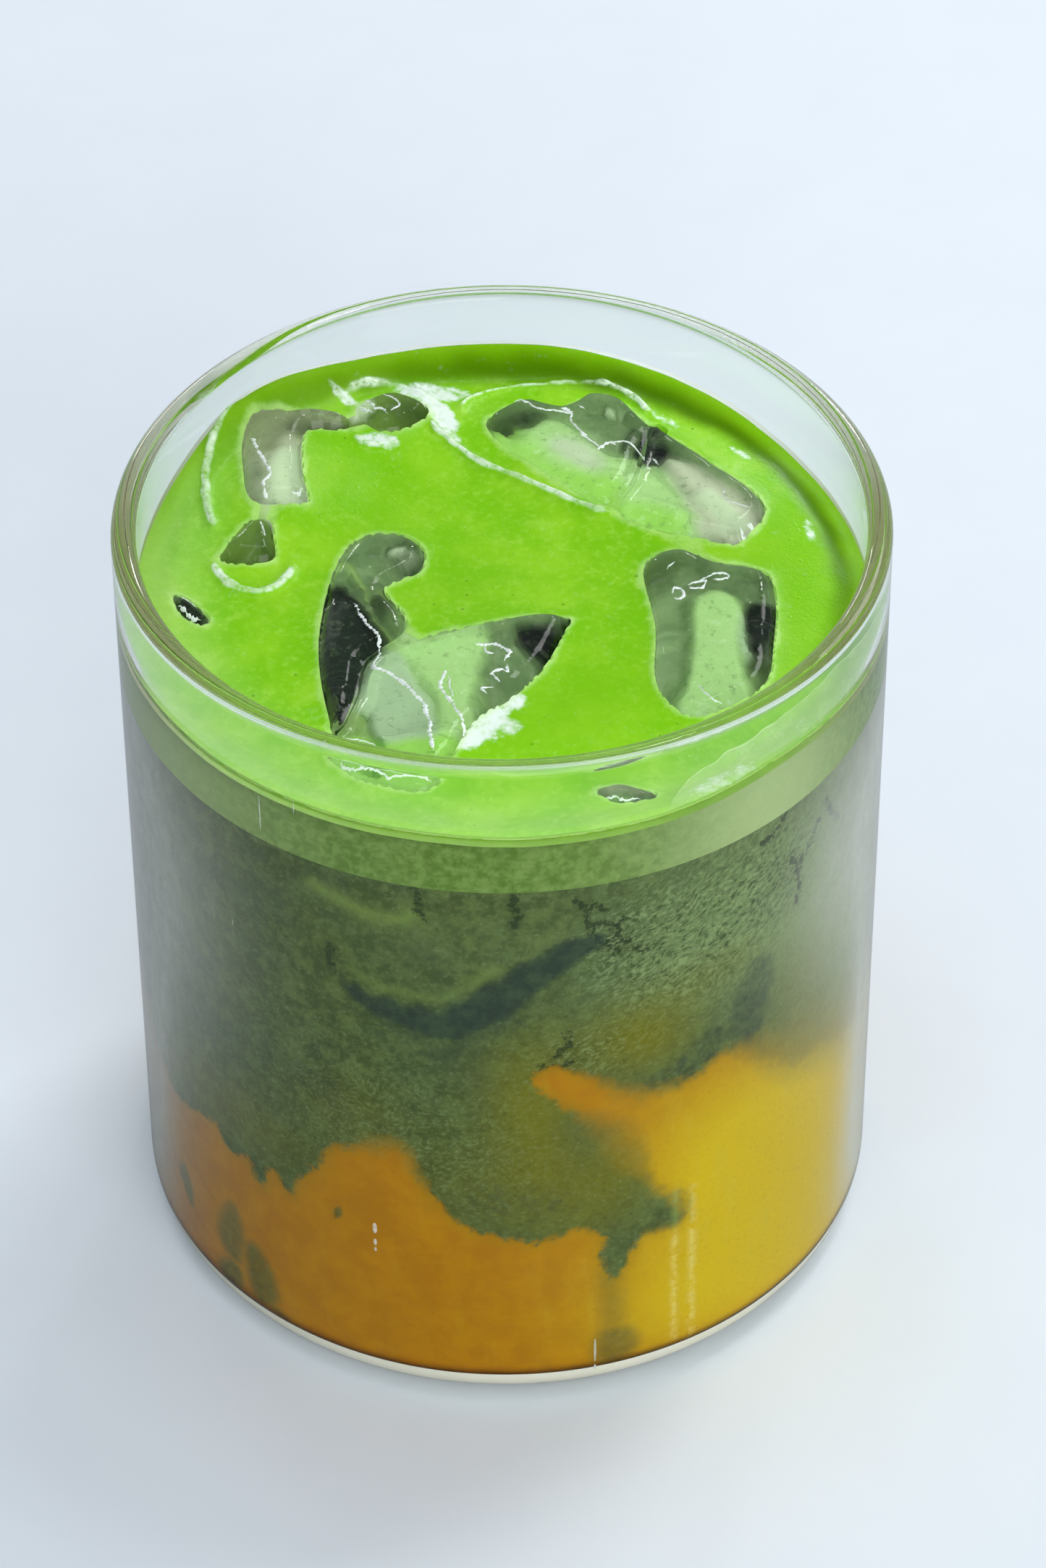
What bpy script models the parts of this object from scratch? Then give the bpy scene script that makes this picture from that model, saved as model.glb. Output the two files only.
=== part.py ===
"""Iced matcha latte in a plain straight glass: orange fruit puree, matcha milk, bright matcha foam and ice.

Metres, +Z up. The origin is the middle of the underside, and -Y is the side that faces the viewer.
Angles round the glass are in degrees from -Y, positive towards +X.
"""

import math

import bmesh
import bpy

MM = 0.001
GAP = 0.3 * MM  # kept between pieces that touch

# The glass
GLASS_RADIUS = 40.0 * MM
GLASS_HEIGHT = 90.5 * MM
WALL = 2.2 * MM
FLOOR = 2.6 * MM
HEEL = 4.5 * MM  # rounding of the outer bottom corner
INNER_HEEL = 3.6 * MM
BEAD = 1.3 * MM  # radius of the fire-polished rim
BEAD_NECK = 4.0 * MM  # how far below the rim the bead has thinned to the wall
PUNT_RADIUS = 26.0 * MM  # the underside's shallow hollow
PUNT_HEIGHT = 0.7 * MM
BORE = GLASS_RADIUS - WALL
STEPS = 60  # facets round everything that is turned

# The drink's layers, from the bottom: puree, milk, foam
DRINK_RADIUS = BORE - GAP
PUREE_MEAN = 33.0 * MM
MILK_LEVEL = 73.4 * MM
FOAM_LEVEL = 80.2 * MM
MENISCUS_WIDTH = 5.0 * MM
MENISCUS_RISE = 0.6 * MM

# Where the puree meets the milk at the wall: angle in degrees, height in mm
PUREE_LINE = (
    (-180, 33), (-150, 28), (-120, 24), (-95, 21), (-75, 22), (-60, 26), (-50, 26), (-41, 23), (-33, 28),
    (-24, 35), (-15, 36), (-5, 41), (5, 48), (12, 47), (23, 43), (35, 44), (43, 41), (52, 36), (70, 31),
    (95, 30), (120, 35), (150, 29),
)  # fmt: skip

# A plume of milk that has sunk into the puree by the wall, and its tail: angle, height in mm, radius in mm
PLUME = ((-14, 36.0, 6.0), (-4, 32.5, 7.0), (8, 31.0, 6.8), (19, 28.0, 4.6), (27, 24.0, 1.6))
PLUME_TAIL = ((15, 28.0, 3.6), (16.3, 22.0, 2.8), (16.6, 18.0, 1.0))
PLUME_INSET = 1.5 * MM  # from the drink's side to the plume's middle line

# How the foam climbs the wall: angle, rise in mm, spread in degrees
WALL_RISES = ((180, 2.4, 42), (-134, 2.2, 20), (112, -1.6, 26), (45, 0.8, 16))

# Where ice lifts the foam: middle x, y, rise, half-width, half-depth in mm, turn in degrees
MOUNDS = (
    (-23, 19, 3.0, 9, 13, 0),
    (-11, 27, 1.6, 8, 7, 0),
    (12, 20, 1.9, 20, 10, -33),
    (-8, -10, 0.9, 15, 17, 0),
    (21, -8, 0.9, 10, 14, 0),
)

# The ice that breaks the surface. Each outline is what shows at the foam's surface, x and y in mm.
# top and bottom are heights in mm, lean is the crown's slope along x and y, edge is its rounding in mm.
ICE = {
    "ice_front_slab": {
        "outline": (
            (-14.9, 7.4), (-17.4, 2.5), (-18.8, -8), (-18.2, -17), (-16.7, -22.6), (-15.6, -17.5),
            (-14.9, -12.2), (-12.4, -9.7), (-10.2, -7.4), (-10.6, -4.6), (-12.3, -0.4), (-8.6, 2.4),
            (-8.3, 6.0), (-10.8, 8.5),
        ),
        "top": 82.0, "bottom": 60.0, "lean": (0.01, -0.01), "edge": 0.6,
    },
    "ice_front_wedge": {
        "outline": (
            (-15.2, -23.2), (-11.5, -28.3), (-7.0, -28.4), (-3.0, -21), (1.0, -17.6), (4.3, -12.8),
            (6.9, -5.8), (2.5, -5.0), (-3, -6.8), (-7.8, -8.9), (-11.4, -11.2), (-13.9, -13.4), (-14.4, -18),
        ),
        "top": 81.8, "bottom": 61.0, "lean": (0.0, 0.02), "edge": 1.0,
    },
    "ice_right": {
        "outline": (
            (14.8, 2.2), (17.2, 4.9), (20.6, 4.0), (23.4, 2.6), (27.2, 1.0), (28.0, -5), (27.4, -13.6),
            (24.5, -18.2), (19.4, -20.6), (15.6, -16), (15.0, -7),
        ),
        "top": 82.0, "bottom": 58.0, "lean": (0.0, 0.015), "edge": 1.3,
    },
    "ice_back_left": {
        "outline": (
            (-1.6, 26.0), (2.2, 29.6), (6.4, 28.6), (10.2, 30.4), (13.6, 28.4), (15.2, 25.2), (13.6, 20.6),
            (12.6, 15.6), (10.8, 12.4), (7.0, 15.2), (3.4, 18.8), (0.0, 22.6),
        ),
        "top": 83.0, "bottom": 62.0, "lean": (-0.01, 0.01), "edge": 1.1,
    },
    "ice_back_right": {
        "outline": (
            (16.4, 24.6), (20.2, 21.2), (25.8, 15.4), (27.6, 11.6), (24.6, 6.6), (20.0, 6.8), (15.2, 8.8),
            (12.4, 11.4), (14.2, 15.6), (15.2, 20.2),
        ),
        "top": 82.8, "bottom": 63.0, "lean": (0.0, 0.01), "edge": 1.0,
    },
    "ice_left": {
        "outline": (
            (-27.4, 22.0), (-25.4, 25.4), (-20.8, 26.6), (-17.0, 25.6), (-17.2, 23.6), (-20.6, 22.6),
            (-20.8, 16), (-19.8, 11.2), (-25.2, 10.6), (-27.0, 15.0),
        ),
        "top": 84.3, "bottom": 64.0, "lean": (0.02, 0.03), "edge": 0.9,
    },
    "ice_tip": {
        "outline": (
            (-15.2, 28.6), (-12.0, 30.4), (-9.3, 29.2), (-7.9, 27.0), (-9.6, 24.8), (-12.4, 24.0),
            (-14.8, 25.8),
        ),
        "top": 83.6, "bottom": 66.0, "lean": (0.0, 0.02), "edge": 0.9,
    },
    "ice_chip": {
        "outline": (
            (-29.2, 3.9), (-27.4, 7.0), (-25.8, 9.0), (-24.0, 9.0), (-23.6, 5.6), (-24.0, 2.6), (-27.0, 2.6),
        ),
        "top": 82.6, "bottom": 68.0, "lean": (0.04, 0.05), "edge": 0.7,
    },
    "ice_sliver_left": {
        "outline": ((-34.0, -0.8), (-32.4, -1.6), (-30.2, -4.6), (-31.0, -5.6), (-33.2, -3.6)),
        "top": 81.5, "bottom": 75.6, "lean": (0.0, 0.0), "edge": 0.35,
    },
    "ice_sliver_front": {
        "outline": ((9.0, -30.0), (11.8, -29.5), (14.8, -31.4), (12.2, -32.4), (10.0, -31.6)),
        "top": 81.5, "bottom": 75.6, "lean": (0.0, 0.0), "edge": 0.35,
    },
}  # fmt: skip
ICE_TAPER = 0.12  # share by which an ice piece narrows towards its lower end
POCKET_HEADROOM = 8.0 * MM  # how far a pocket's cutter stands out of the foam

# Colour, roughness and transmission of each material
LOOKS = {
    "clear_glass": ((0.93, 0.97, 0.96), 0.02, 1.0),
    "fruit_puree": ((0.72, 0.40, 0.02), 0.45, 0.0),
    "matcha_milk": ((0.13, 0.19, 0.08), 0.5, 0.0),
    "matcha_foam": ((0.28, 0.60, 0.02), 0.35, 0.0),
    "ice": ((0.80, 0.90, 0.82), 0.05, 0.9),
}


def clear_scene():
    for item in list(bpy.data.objects):
        bpy.data.objects.remove(item)


def collection(name, hidden=False):
    made = bpy.data.collections.new(name)
    made.hide_render = hidden
    bpy.context.scene.collection.children.link(made)
    return made


def material(name):
    colour, roughness, transmission = LOOKS[name]
    made = bpy.data.materials.new(name)
    made.use_nodes = True
    shader = made.node_tree.nodes["Principled BSDF"]
    shader.inputs["Base Color"].default_value = (*colour, 1.0)
    shader.inputs["Roughness"].default_value = roughness
    shader.inputs["Transmission Weight"].default_value = transmission
    return made


def add_mesh(name, mesh, group, finish=None):
    made = bpy.data.objects.new(name, mesh)
    group.objects.link(made)
    if finish:
        mesh.materials.append(finish)
        mesh.shade_smooth()
        mesh.set_sharp_from_angle(angle=math.radians(40))
    return made


def mark_as_helper(item):
    item.hide_render = True
    item.display_type = "WIRE"
    return item


def evaluated_mesh(item):
    """The object's mesh as the viewport shows it, with its modifiers and its place applied."""
    bpy.context.view_layer.update()
    graph = bpy.context.evaluated_depsgraph_get()
    mesh = bpy.data.meshes.new_from_object(item.evaluated_get(graph))
    mesh.transform(item.matrix_world)
    return mesh


def welded(mesh, distance=0.01 * MM):
    work = bmesh.new()
    work.from_mesh(mesh)
    bmesh.ops.remove_doubles(work, verts=work.verts, dist=distance)
    bmesh.ops.recalc_face_normals(work, faces=work.faces)
    work.to_mesh(mesh)
    work.free()
    return mesh


def smoothstep(value):
    t = min(max(value, 0.0), 1.0)
    return t * t * (3 - 2 * t)


def arc(centre_x, centre_z, radius, start, end, pieces):
    """Points of a circular arc in the XZ plane, ends included, angles in degrees from +X."""
    turn = [math.radians(start + (end - start) * i / pieces) for i in range(pieces + 1)]
    return [(centre_x + radius * math.cos(a), centre_z + radius * math.sin(a)) for a in turn]


def turned_mesh(name, profile):
    """Turns a profile, given as (radius, height) from the axis up the inside and down the outside."""
    mesh = bpy.data.meshes.new(name)
    edges = [(i, i + 1) for i in range(len(profile) - 1)]
    mesh.from_pydata([(x, 0, z) for x, z in profile], edges, [])
    blank = bpy.data.objects.new(name + "_blank", mesh)
    bpy.context.scene.collection.objects.link(blank)
    screw = blank.modifiers.new("Turn", "SCREW")
    screw.steps = screw.render_steps = STEPS
    screw.use_merge_vertices = True
    screw.merge_threshold = 0.01 * MM
    made = welded(evaluated_mesh(blank))
    bpy.data.objects.remove(blank)
    return made


def angle_of(x, y):
    return math.degrees(math.atan2(x, -y))


def at_wall(angle, radius):
    turn = math.radians(angle)
    return radius * math.sin(turn), -radius * math.cos(turn)


def puree_at_wall(angle):
    """Height of the puree's edge, eased between the points of PUREE_LINE."""
    points = [*PUREE_LINE, (PUREE_LINE[0][0] + 360, PUREE_LINE[0][1])]
    for (a, low), (b, high) in zip(points, points[1:], strict=False):
        if a <= angle <= b:
            return (low + (high - low) * smoothstep((angle - a) / (b - a))) * MM
    return points[0][1] * MM


def puree_surface(x, y):
    """The puree's uneven top: its edge at the wall, settling to the mean height inwards."""
    reach = smoothstep(math.hypot(x, y) / DRINK_RADIUS)
    swirl = 1.5 * MM * math.sin(x / (9 * MM)) * math.cos(y / (8 * MM)) * (1 - reach)
    return PUREE_MEAN + (puree_at_wall(angle_of(x, y)) - PUREE_MEAN) * reach**1.5 + swirl


def milk_surface(x, y):
    return MILK_LEVEL + 0.4 * MM * math.sin(x / (14 * MM)) * math.cos(y / (17 * MM))


def mound(x, y, entry):
    middle_x, middle_y, rise, half_width, half_depth, turn = entry
    c, s = math.cos(math.radians(turn)), math.sin(math.radians(turn))
    dx, dy = x / MM - middle_x, y / MM - middle_y
    along, across = (dx * c + dy * s) / half_width, (dy * c - dx * s) / half_depth
    return rise * MM * math.exp(-(along**2) - across**2)


def foam_surface(x, y):
    """The foam's top: level, lifted by the ice under it, and climbing the wall."""
    climb = smoothstep((math.hypot(x, y) - DRINK_RADIUS + MENISCUS_WIDTH) / MENISCUS_WIDTH) ** 2
    rise = MENISCUS_RISE
    for angle, height, spread in WALL_RISES:
        off = (angle_of(x, y) - angle + 180) % 360 - 180
        rise += height * MM * math.exp(-((off / spread) ** 2))
    return FOAM_LEVEL + sum(mound(x, y, entry) for entry in MOUNDS) + rise * climb


def floor_surface(x, y):
    """The glass's inner floor with its rounded corner, as far up as the drink's side."""
    past = max(0.0, math.hypot(x, y) - (BORE - INNER_HEEL))
    return FLOOR + INNER_HEEL - math.sqrt(max(0.0, INNER_HEEL**2 - past**2))


def layer_mesh(name, lower, upper, lower_rings, upper_rings):
    """A disc of drink between two surfaces, turned one unit high and then moved on to them."""
    profile = [(0.0, 1.0), *((r, 1.0) for r in upper_rings), (DRINK_RADIUS, 1.0)]
    profile += [(DRINK_RADIUS, 0.0)]
    profile += [*((r, 0.0) for r in reversed(lower_rings)), (0.0, 0.0)]
    mesh = turned_mesh(name, profile)
    for vertex in mesh.vertices:
        x, y, share = vertex.co
        low, high = lower(x, y), upper(x, y)
        vertex.co.z = low + (high - low) * share
    return mesh


def rings(count, innermost=4.0 * MM, power=0.8):
    """Radii of the rings of a disc, closer together near its side."""
    share = [(i / count) ** power for i in range(count)]
    return [innermost + (DRINK_RADIUS - 0.5 * MM - innermost) * s for s in share]


def glass_profile():
    """The glass in section: up the inside from the axis, over the beaded rim and down the outside."""
    bead_x, bead_z = GLASS_RADIUS - BEAD, GLASS_HEIGHT - BEAD
    inside = [(0.0, FLOOR)]
    inside += arc(BORE - INNER_HEEL, FLOOR + INNER_HEEL, INNER_HEEL, -90, 0, 4)
    inside += [(BORE, GLASS_HEIGHT - BEAD_NECK)]
    rim = arc(bead_x, bead_z, BEAD, 180, 0, 6)
    outside = arc(GLASS_RADIUS - HEEL, HEEL, HEEL, 0, -90, 5)
    underside = [(PUNT_RADIUS, 0.0), (PUNT_RADIUS * 0.8, PUNT_HEIGHT * 0.7), (0.0, PUNT_HEIGHT)]
    return inside + rim + outside + underside


def outline_curve(name, outline, grow):
    """A closed flat curve through the outline, moved outwards by grow."""
    data = bpy.data.curves.new(name, "CURVE")
    data.dimensions = "2D"
    data.fill_mode = "BOTH"
    data.resolution_u = 2
    data.offset = grow
    spline = data.splines.new("BEZIER")
    spline.bezier_points.add(len(outline) - 1)
    for point, (x, y) in zip(spline.bezier_points, outline, strict=True):
        point.co = (x * MM, y * MM, 0)
        point.handle_left_type = point.handle_right_type = "AUTO"
    spline.use_cyclic_u = True
    return data


def ice_mesh(name, entry, grow=0.0, headroom=0.0):
    """An ice piece as an extruded outline with rounded edges, tapered and leaning. With grow it is its pocket."""
    height = (entry["top"] - entry["bottom"]) * MM
    edge = 0.0 if grow else entry["edge"] * MM
    data = outline_curve(name, entry["outline"], grow - edge)
    data.extrude = height / 2 - edge
    data.bevel_depth = edge
    data.bevel_resolution = 1
    flat = bpy.data.objects.new(name + "_outline", data)
    bpy.context.scene.collection.objects.link(flat)
    mesh = welded(evaluated_mesh(flat))
    bpy.data.objects.remove(flat)
    count = len(entry["outline"])
    middle_x = sum(p[0] for p in entry["outline"]) / count * MM
    middle_y = sum(p[1] for p in entry["outline"]) / count * MM
    for vertex in mesh.vertices:
        x, y, z = vertex.co
        share = z / height + 0.5
        top = entry["top"] * MM + entry["lean"][0] * (x - middle_x) + entry["lean"][1] * (y - middle_y)
        low, high = entry["bottom"] * MM - grow, top + headroom
        z = low + (high - low) * share
        narrow = 1 - ICE_TAPER * (entry["top"] * MM - z) / height
        vertex.co = (middle_x + (x - middle_x) * narrow, middle_y + (y - middle_y) * narrow, z)
    return mesh


def plume_mesh(name, points, grow=0.0):
    """A tapering tube of milk that follows the wall."""
    data = bpy.data.curves.new(name, "CURVE")
    data.dimensions = "3D"
    data.bevel_depth = 1.0
    data.bevel_resolution = 3
    data.resolution_u = 3
    data.use_fill_caps = True
    spline = data.splines.new("BEZIER")
    spline.bezier_points.add(len(points) - 1)
    for point, (angle, height, radius) in zip(spline.bezier_points, points, strict=True):
        x, y = at_wall(angle, DRINK_RADIUS - PLUME_INSET)
        point.co = (x, y, height * MM)
        point.radius = radius * MM + grow
        point.handle_left_type = point.handle_right_type = "AUTO"
    tube = bpy.data.objects.new(name + "_path", data)
    bpy.context.scene.collection.objects.link(tube)
    mesh = welded(evaluated_mesh(tube))
    bpy.data.objects.remove(tube)
    return mesh


def boolean(item, name, operation, operand):
    modifier = item.modifiers.new(name, "BOOLEAN")
    modifier.operation = operation
    modifier.solver = "EXACT"
    if isinstance(operand, bpy.types.Collection):
        modifier.operand_type = "COLLECTION"
        modifier.collection = operand
    else:
        modifier.object = operand
    return modifier


def build_glass(group):
    mesh = turned_mesh("glass", glass_profile())
    return add_mesh("glass", mesh, group, material("clear_glass"))


def build_ice(group):
    finish = material("ice")
    for name, entry in ICE.items():
        add_mesh(name, ice_mesh(name, entry), group, finish)


def build_pockets(cutters):
    for name, entry in ICE.items():
        mesh = ice_mesh(name + "_pocket", entry, grow=GAP, headroom=POCKET_HEADROOM)
        mark_as_helper(add_mesh(name + "_pocket", mesh, cutters))


def build_plume(cutters, trim_radius, grow, suffix):
    """The plume and its tail as helpers, trimmed to trim_radius so that they end inside the wall."""
    bpy.ops.mesh.primitive_cylinder_add(vertices=STEPS, radius=trim_radius, depth=GLASS_HEIGHT)
    trim = mark_as_helper(bpy.context.active_object)
    trim.name = "plume_trim_" + suffix
    trim.location.z = GLASS_HEIGHT / 2
    for part, points in (("plume", PLUME), ("plume_tail", PLUME_TAIL)):
        name = f"{part}_{suffix}"
        tube = mark_as_helper(add_mesh(name, plume_mesh(name, points, grow), cutters))
        boolean(tube, "Trim", "INTERSECT", trim)


def build_drink(group, pockets, plume, plume_bed):
    """The three layers, each clear of the next by the gap."""
    half = GAP / 2
    puree = layer_mesh(
        "puree",
        lambda x, y: floor_surface(x, y) + GAP,
        lambda x, y: puree_surface(x, y) - half,
        [BORE - INNER_HEEL, BORE - INNER_HEEL * 0.45],
        rings(6),
    )
    milk = layer_mesh(
        "milk",
        lambda x, y: puree_surface(x, y) + half,
        lambda x, y: milk_surface(x, y) - half,
        rings(6),
        rings(2),
    )
    foam = layer_mesh(
        "foam",
        lambda x, y: milk_surface(x, y) + half,
        foam_surface,
        rings(2),
        rings(8),
    )
    puree = add_mesh("fruit_puree", puree, group, material("fruit_puree"))
    boolean(puree, "Plume bed", "DIFFERENCE", plume_bed)
    milk = add_mesh("matcha_milk", milk, group, material("matcha_milk"))
    boolean(milk, "Plume", "UNION", plume)
    boolean(milk, "Ice pockets", "DIFFERENCE", pockets)
    foam = add_mesh("matcha_foam", foam, group, material("matcha_foam"))
    boolean(foam, "Ice pockets", "DIFFERENCE", pockets)


def main():
    clear_scene()
    latte = collection("iced_matcha_latte")
    pockets = collection("ice_pockets", hidden=True)
    plume = collection("plume", hidden=True)
    plume_bed = collection("plume_bed", hidden=True)
    build_glass(latte)
    build_ice(latte)
    build_pockets(pockets)
    build_plume(plume, DRINK_RADIUS - 0.1 * MM, 0.0, "milk")
    build_plume(plume_bed, DRINK_RADIUS + 1.0 * MM, GAP, "bed")
    build_drink(latte, pockets, plume, plume_bed)


main()
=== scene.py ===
"""The looks of the iced matcha latte: clear glass, layered drink, foam with ridges, and ice that breaks it.

The frame is in metres, +Z up, with -Y towards the camera. Shapes here are worked out in millimetres.
Angles round the glass are in degrees from -Y, positive towards +X.
"""

import math

import bmesh
import bpy
import numpy as np
from mathutils import Matrix, Vector
from mathutils.geometry import delaunay_2d_cdt


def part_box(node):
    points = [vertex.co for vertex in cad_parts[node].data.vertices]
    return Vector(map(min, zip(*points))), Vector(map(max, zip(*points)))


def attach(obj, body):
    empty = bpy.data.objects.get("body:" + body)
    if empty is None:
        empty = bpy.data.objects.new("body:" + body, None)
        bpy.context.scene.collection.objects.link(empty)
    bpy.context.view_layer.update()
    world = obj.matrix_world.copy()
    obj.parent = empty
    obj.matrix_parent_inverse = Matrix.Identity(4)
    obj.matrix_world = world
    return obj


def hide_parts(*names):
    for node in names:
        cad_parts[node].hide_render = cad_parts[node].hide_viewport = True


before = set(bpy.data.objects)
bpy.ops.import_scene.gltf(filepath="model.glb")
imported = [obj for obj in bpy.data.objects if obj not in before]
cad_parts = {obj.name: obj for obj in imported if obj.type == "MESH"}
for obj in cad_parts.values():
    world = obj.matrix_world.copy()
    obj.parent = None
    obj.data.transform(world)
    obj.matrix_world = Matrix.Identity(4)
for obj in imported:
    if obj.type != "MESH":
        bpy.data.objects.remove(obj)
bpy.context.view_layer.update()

MM = 0.001
SEED = 7
SHARP_ABOVE = 50.0  # degrees between faces

# The glass, as in the CAD model
GLASS_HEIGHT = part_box("glass")[1][2] / MM
GLASS_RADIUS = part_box("glass")[1][0] / MM
WALL = 2.2
FLOOR = 2.6
HEEL = 4.5
INNER_HEEL = 3.6
BEAD = 1.3
BEAD_NECK = 8.0
PUNT_RADIUS = 26.0
PUNT_HEIGHT = 0.7
BORE = GLASS_RADIUS - WALL
INTO_WALL = 0.2  # how far the drink reaches into the glass, so that no air gap shows
DRINK_RADIUS = BORE + INTO_WALL
GLASS_STEPS = 256
FOOT_LIGHT_INSET, FOOT_LIGHT_LOW, FOOT_LIGHT_HIGH = 0.12, -66, -4  # where the foot glows: depth, degrees
LIP_LIGHT_DROP = 0.35  # how far under the foam's edge the lip's light is caught
LIP_LIGHT_RINGS = 4
LIP_LIGHT_BACK, LIP_LIGHT_FRONT = (90, 70), (70, 30)  # degrees from there to its end, fade
DRIPS = (  # angle, height, half-width, half-height of the drops on the outside
    (-20.5, 24.4, 0.26, 0.8), (-20.5, 22.3, 0.2, 0.5), (-20.5, 21.2, 0.16, 0.3), (-37.5, 78.0, 0.09, 2.4),
    (-31.4, 80.8, 0.07, 0.8), (13.3, 6.8, 0.13, 1.8), (13.3, 4.2, 0.14, 0.4), (-44.0, 60.4, 0.07, 0.4),
)
DROP_RINGS, DROP_STEPS = 6, 12
DROP_SUNK, DROP_BULGE = 0.06, 0.3  # how deep a drop sits, and how far it stands out for its half-width
FILM_EDGE = (  # angle and height of the film that foam has left at the front right
    (22.0, 79.0), (24.0, 80.2), (25.5, 82.6), (28.0, 84.2), (34.0, 85.6), (46.0, 86.4), (58.8, 87.0),
    (76.0, 85.6), (90.0, 80.0),
)
FILM_THICKNESS = 0.08
FILM_COLUMNS, FILM_ROWS = 120, 24
FILM_FADE = (7, 14)  # degrees over which it fades at its left and right end
FILM_UNDER = 0.3  # how far it reaches into the foam
SIDE_STEPS = 600  # columns of the drink's side
SIDE_ROW = 0.4  # height of its rows

# The camera, fitted to the photo's rim and base ellipses
PHOTO_HEIGHT_PX = 2167
FOCAL_PX = 7575.56
CAMERA_AWAY, CAMERA_UP = 437.83, 441.28
CAMERA_DOWN, CAMERA_YAW, CAMERA_ROLL = 41.538, 0.263, -0.325  # degrees
SENSOR = 36.0

# The foam's levels, how it climbs the wall (angle, rise, spread) and where ice lifts it
# (middle x, y, rise, half-width, half-depth, turn)
MILK_LEVEL = 73.4
FOAM_LEVEL = 80.2
MENISCUS_WIDTH = 5.0
MENISCUS_RISE = 0.6
WALL_RISES = ((180, 2.4, 42), (-134, 2.2, 20), (112, -1.6, 26), (45, 0.8, 16))
MOUNDS = (
    (-23, 19, 3.0, 9, 13, 0),
    (-11, 27, 1.6, 8, 7, 0),
    (12, 20, 1.9, 20, 10, -33),
    (-8, -10, 0.9, 15, 17, 0),
    (21, -8, 0.9, 10, 14, 0),
)
# Ridges that the ice draws up in the foam: height, half-width, strength of their painted highlight, then
# points x, y
RIDGES = (
    (0.40, 0.42, 0.75, (
        (-4.3, 27.1), (-4.2, 29.0), (-3.2, 30.9), (-0.1, 32.8), (3.2, 33.5), (6.9, 33.6), (10.6, 33.3),
        (13.0, 32.2), (14.8, 30.3), (16.6, 27.4),
    )),
    (0.60, 0.50, 1.0, ((11.6, 32.9), (13.6, 31.8), (15.2, 29.8), (16.8, 27.2))),
    (0.65, 0.48, 1.1, (
        (-8.0, 27.0), (-7.1, 24.9), (-4.8, 22.5), (-2.5, 20.2), (0.7, 18.0), (3.5, 16.0), (6.2, 14.1),
        (8.4, 12.5), (10.7, 11.3), (12.9, 11.2),
    )),
    (0.45, 0.42, 1.0, ((9.8, 13.9), (11.6, 14.0), (13.2, 12.9), (12.9, 11.4))),
    (0.30, 0.42, 0.8, ((14.3, 9.7), (17.4, 8.4), (20.1, 7.4), (22.9, 6.4), (25.8, 5.4))),
    (0.60, 0.55, 1.15, (
        (-27.6, 26.8), (-29.2, 24.3), (-30.5, 20.6), (-31.1, 17.5), (-31.1, 14.1), (-30.6, 11.3),
        (-29.6, 8.2),
    )),
    (0.60, 0.60, 1.2, (
        (-30.5, 5.4), (-29.9, 3.4), (-28.6, 1.2), (-27.2, 0.0), (-25.6, -0.5), (-24.0, -0.2), (-22.7, 0.8),
        (-21.9, 2.6), (-22.6, 4.4),
    )),
    (0.50, 0.70, 0.8, ((-18.4, 28.4), (-15.0, 31.8), (-10.4, 32.2), (-6.6, 29.6))),
    (0.40, 0.50, 1.0, ((-15.7, 24.5), (-15.2, 22.8), (-13.9, 21.8), (-12.2, 22.2), (-10.4, 23.0))),
)
# Where light glances off the foam: middle x, y, half-width, half-depth, turn, amount
SHEEN = (
    (-2.4, -22.4, 4.4, 1.7, 52, 1.35),
    (0.4, -18.6, 2.2, 1.3, 34, 1.1),
    (-0.6, -22.6, 2.6, 1.6, 30, 0.75),
    (-7.4, 31.6, 4.8, 1.9, 4, 1.25),
    (-6.7, 27.9, 3.9, 1.5, -62, 1.3),
    (-5.9, 24.6, 2.3, 0.9, -50, 0.9),
    (-13.2, 22.6, 2.7, 1.2, 0, 1.0),
    (-16.7, 29.8, 2.3, 0.8, -40, 0.9),
    (17.5, 27.6, 2.2, 0.7, -48, 0.6),
    (25.4, 21.8, 1.6, 0.5, -45, 0.8),
    (27.8, 25.8, 1.0, 0.3, -45, 0.7),
    (32.1, 8.8, 0.5, 1.8, 8, 0.8),
    (-25.6, -0.4, 3.4, 0.8, 8, 0.5),
    (21.0, -30.0, 3.6, 1.6, 32, 0.9),
)
# Where the foam's green is deeper: middle x, y, amount, half-width, half-depth, turn
DEEP = ((31, 4, 1.0, 8, 17, 0), (7, -19, 0.9, 13, 9, 20), (-14, 14, 0.7, 7, 9, 0), (-4, 1, 0.5, 8, 7, 0))
# How much painted shade darkens the foam where it climbs the wall, and how pale it is near the
# wall, partly painted sheen and partly condensation haze: angle, amount
CLIMB_SHADE = (
    (-180, 0.95), (-150, 0.6), (-110, 0.3), (-60, 0.1), (0, 0.0), (50, 0.15), (75, 0.6), (110, 1.0),
    (150, 1.0),
)
WALL_HAZE_SHEEN = ((-180, 0.0), (-130, 0.2), (-95, 0.7), (-60, 0.8), (0, 0.65), (40, 0.75), (62, 0.15), (80, 0.0))
HAZE_SHEEN_WIDTH = 11.0
FOLD_PLACE, FOLD_WIDTH = 2.5, 1.3  # how far from the wall the foam's fold is, and how wide
FOAM_GRID = 0.42  # spacing of the foam's points
LIP_RISE, LIP_WIDTH = 0.25, 0.9  # the foam's meniscus on the ice
WELL_RINGS = (-0.55, -0.22, 0.0, 0.12, 0.4, 0.8)  # depths in the ice where foam has rings of points
GRID_GAP = (-0.8, 1.05)  # between these its points are in rings and not in a grid
DEPTH_SHIFT = 2.4  # how far behind its place at the crown a patch sets how deep the lining lies
BAND_LIGHT = ((-66, 26), (44, 19))  # where the foam's side is lighter: angle, spread

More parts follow.
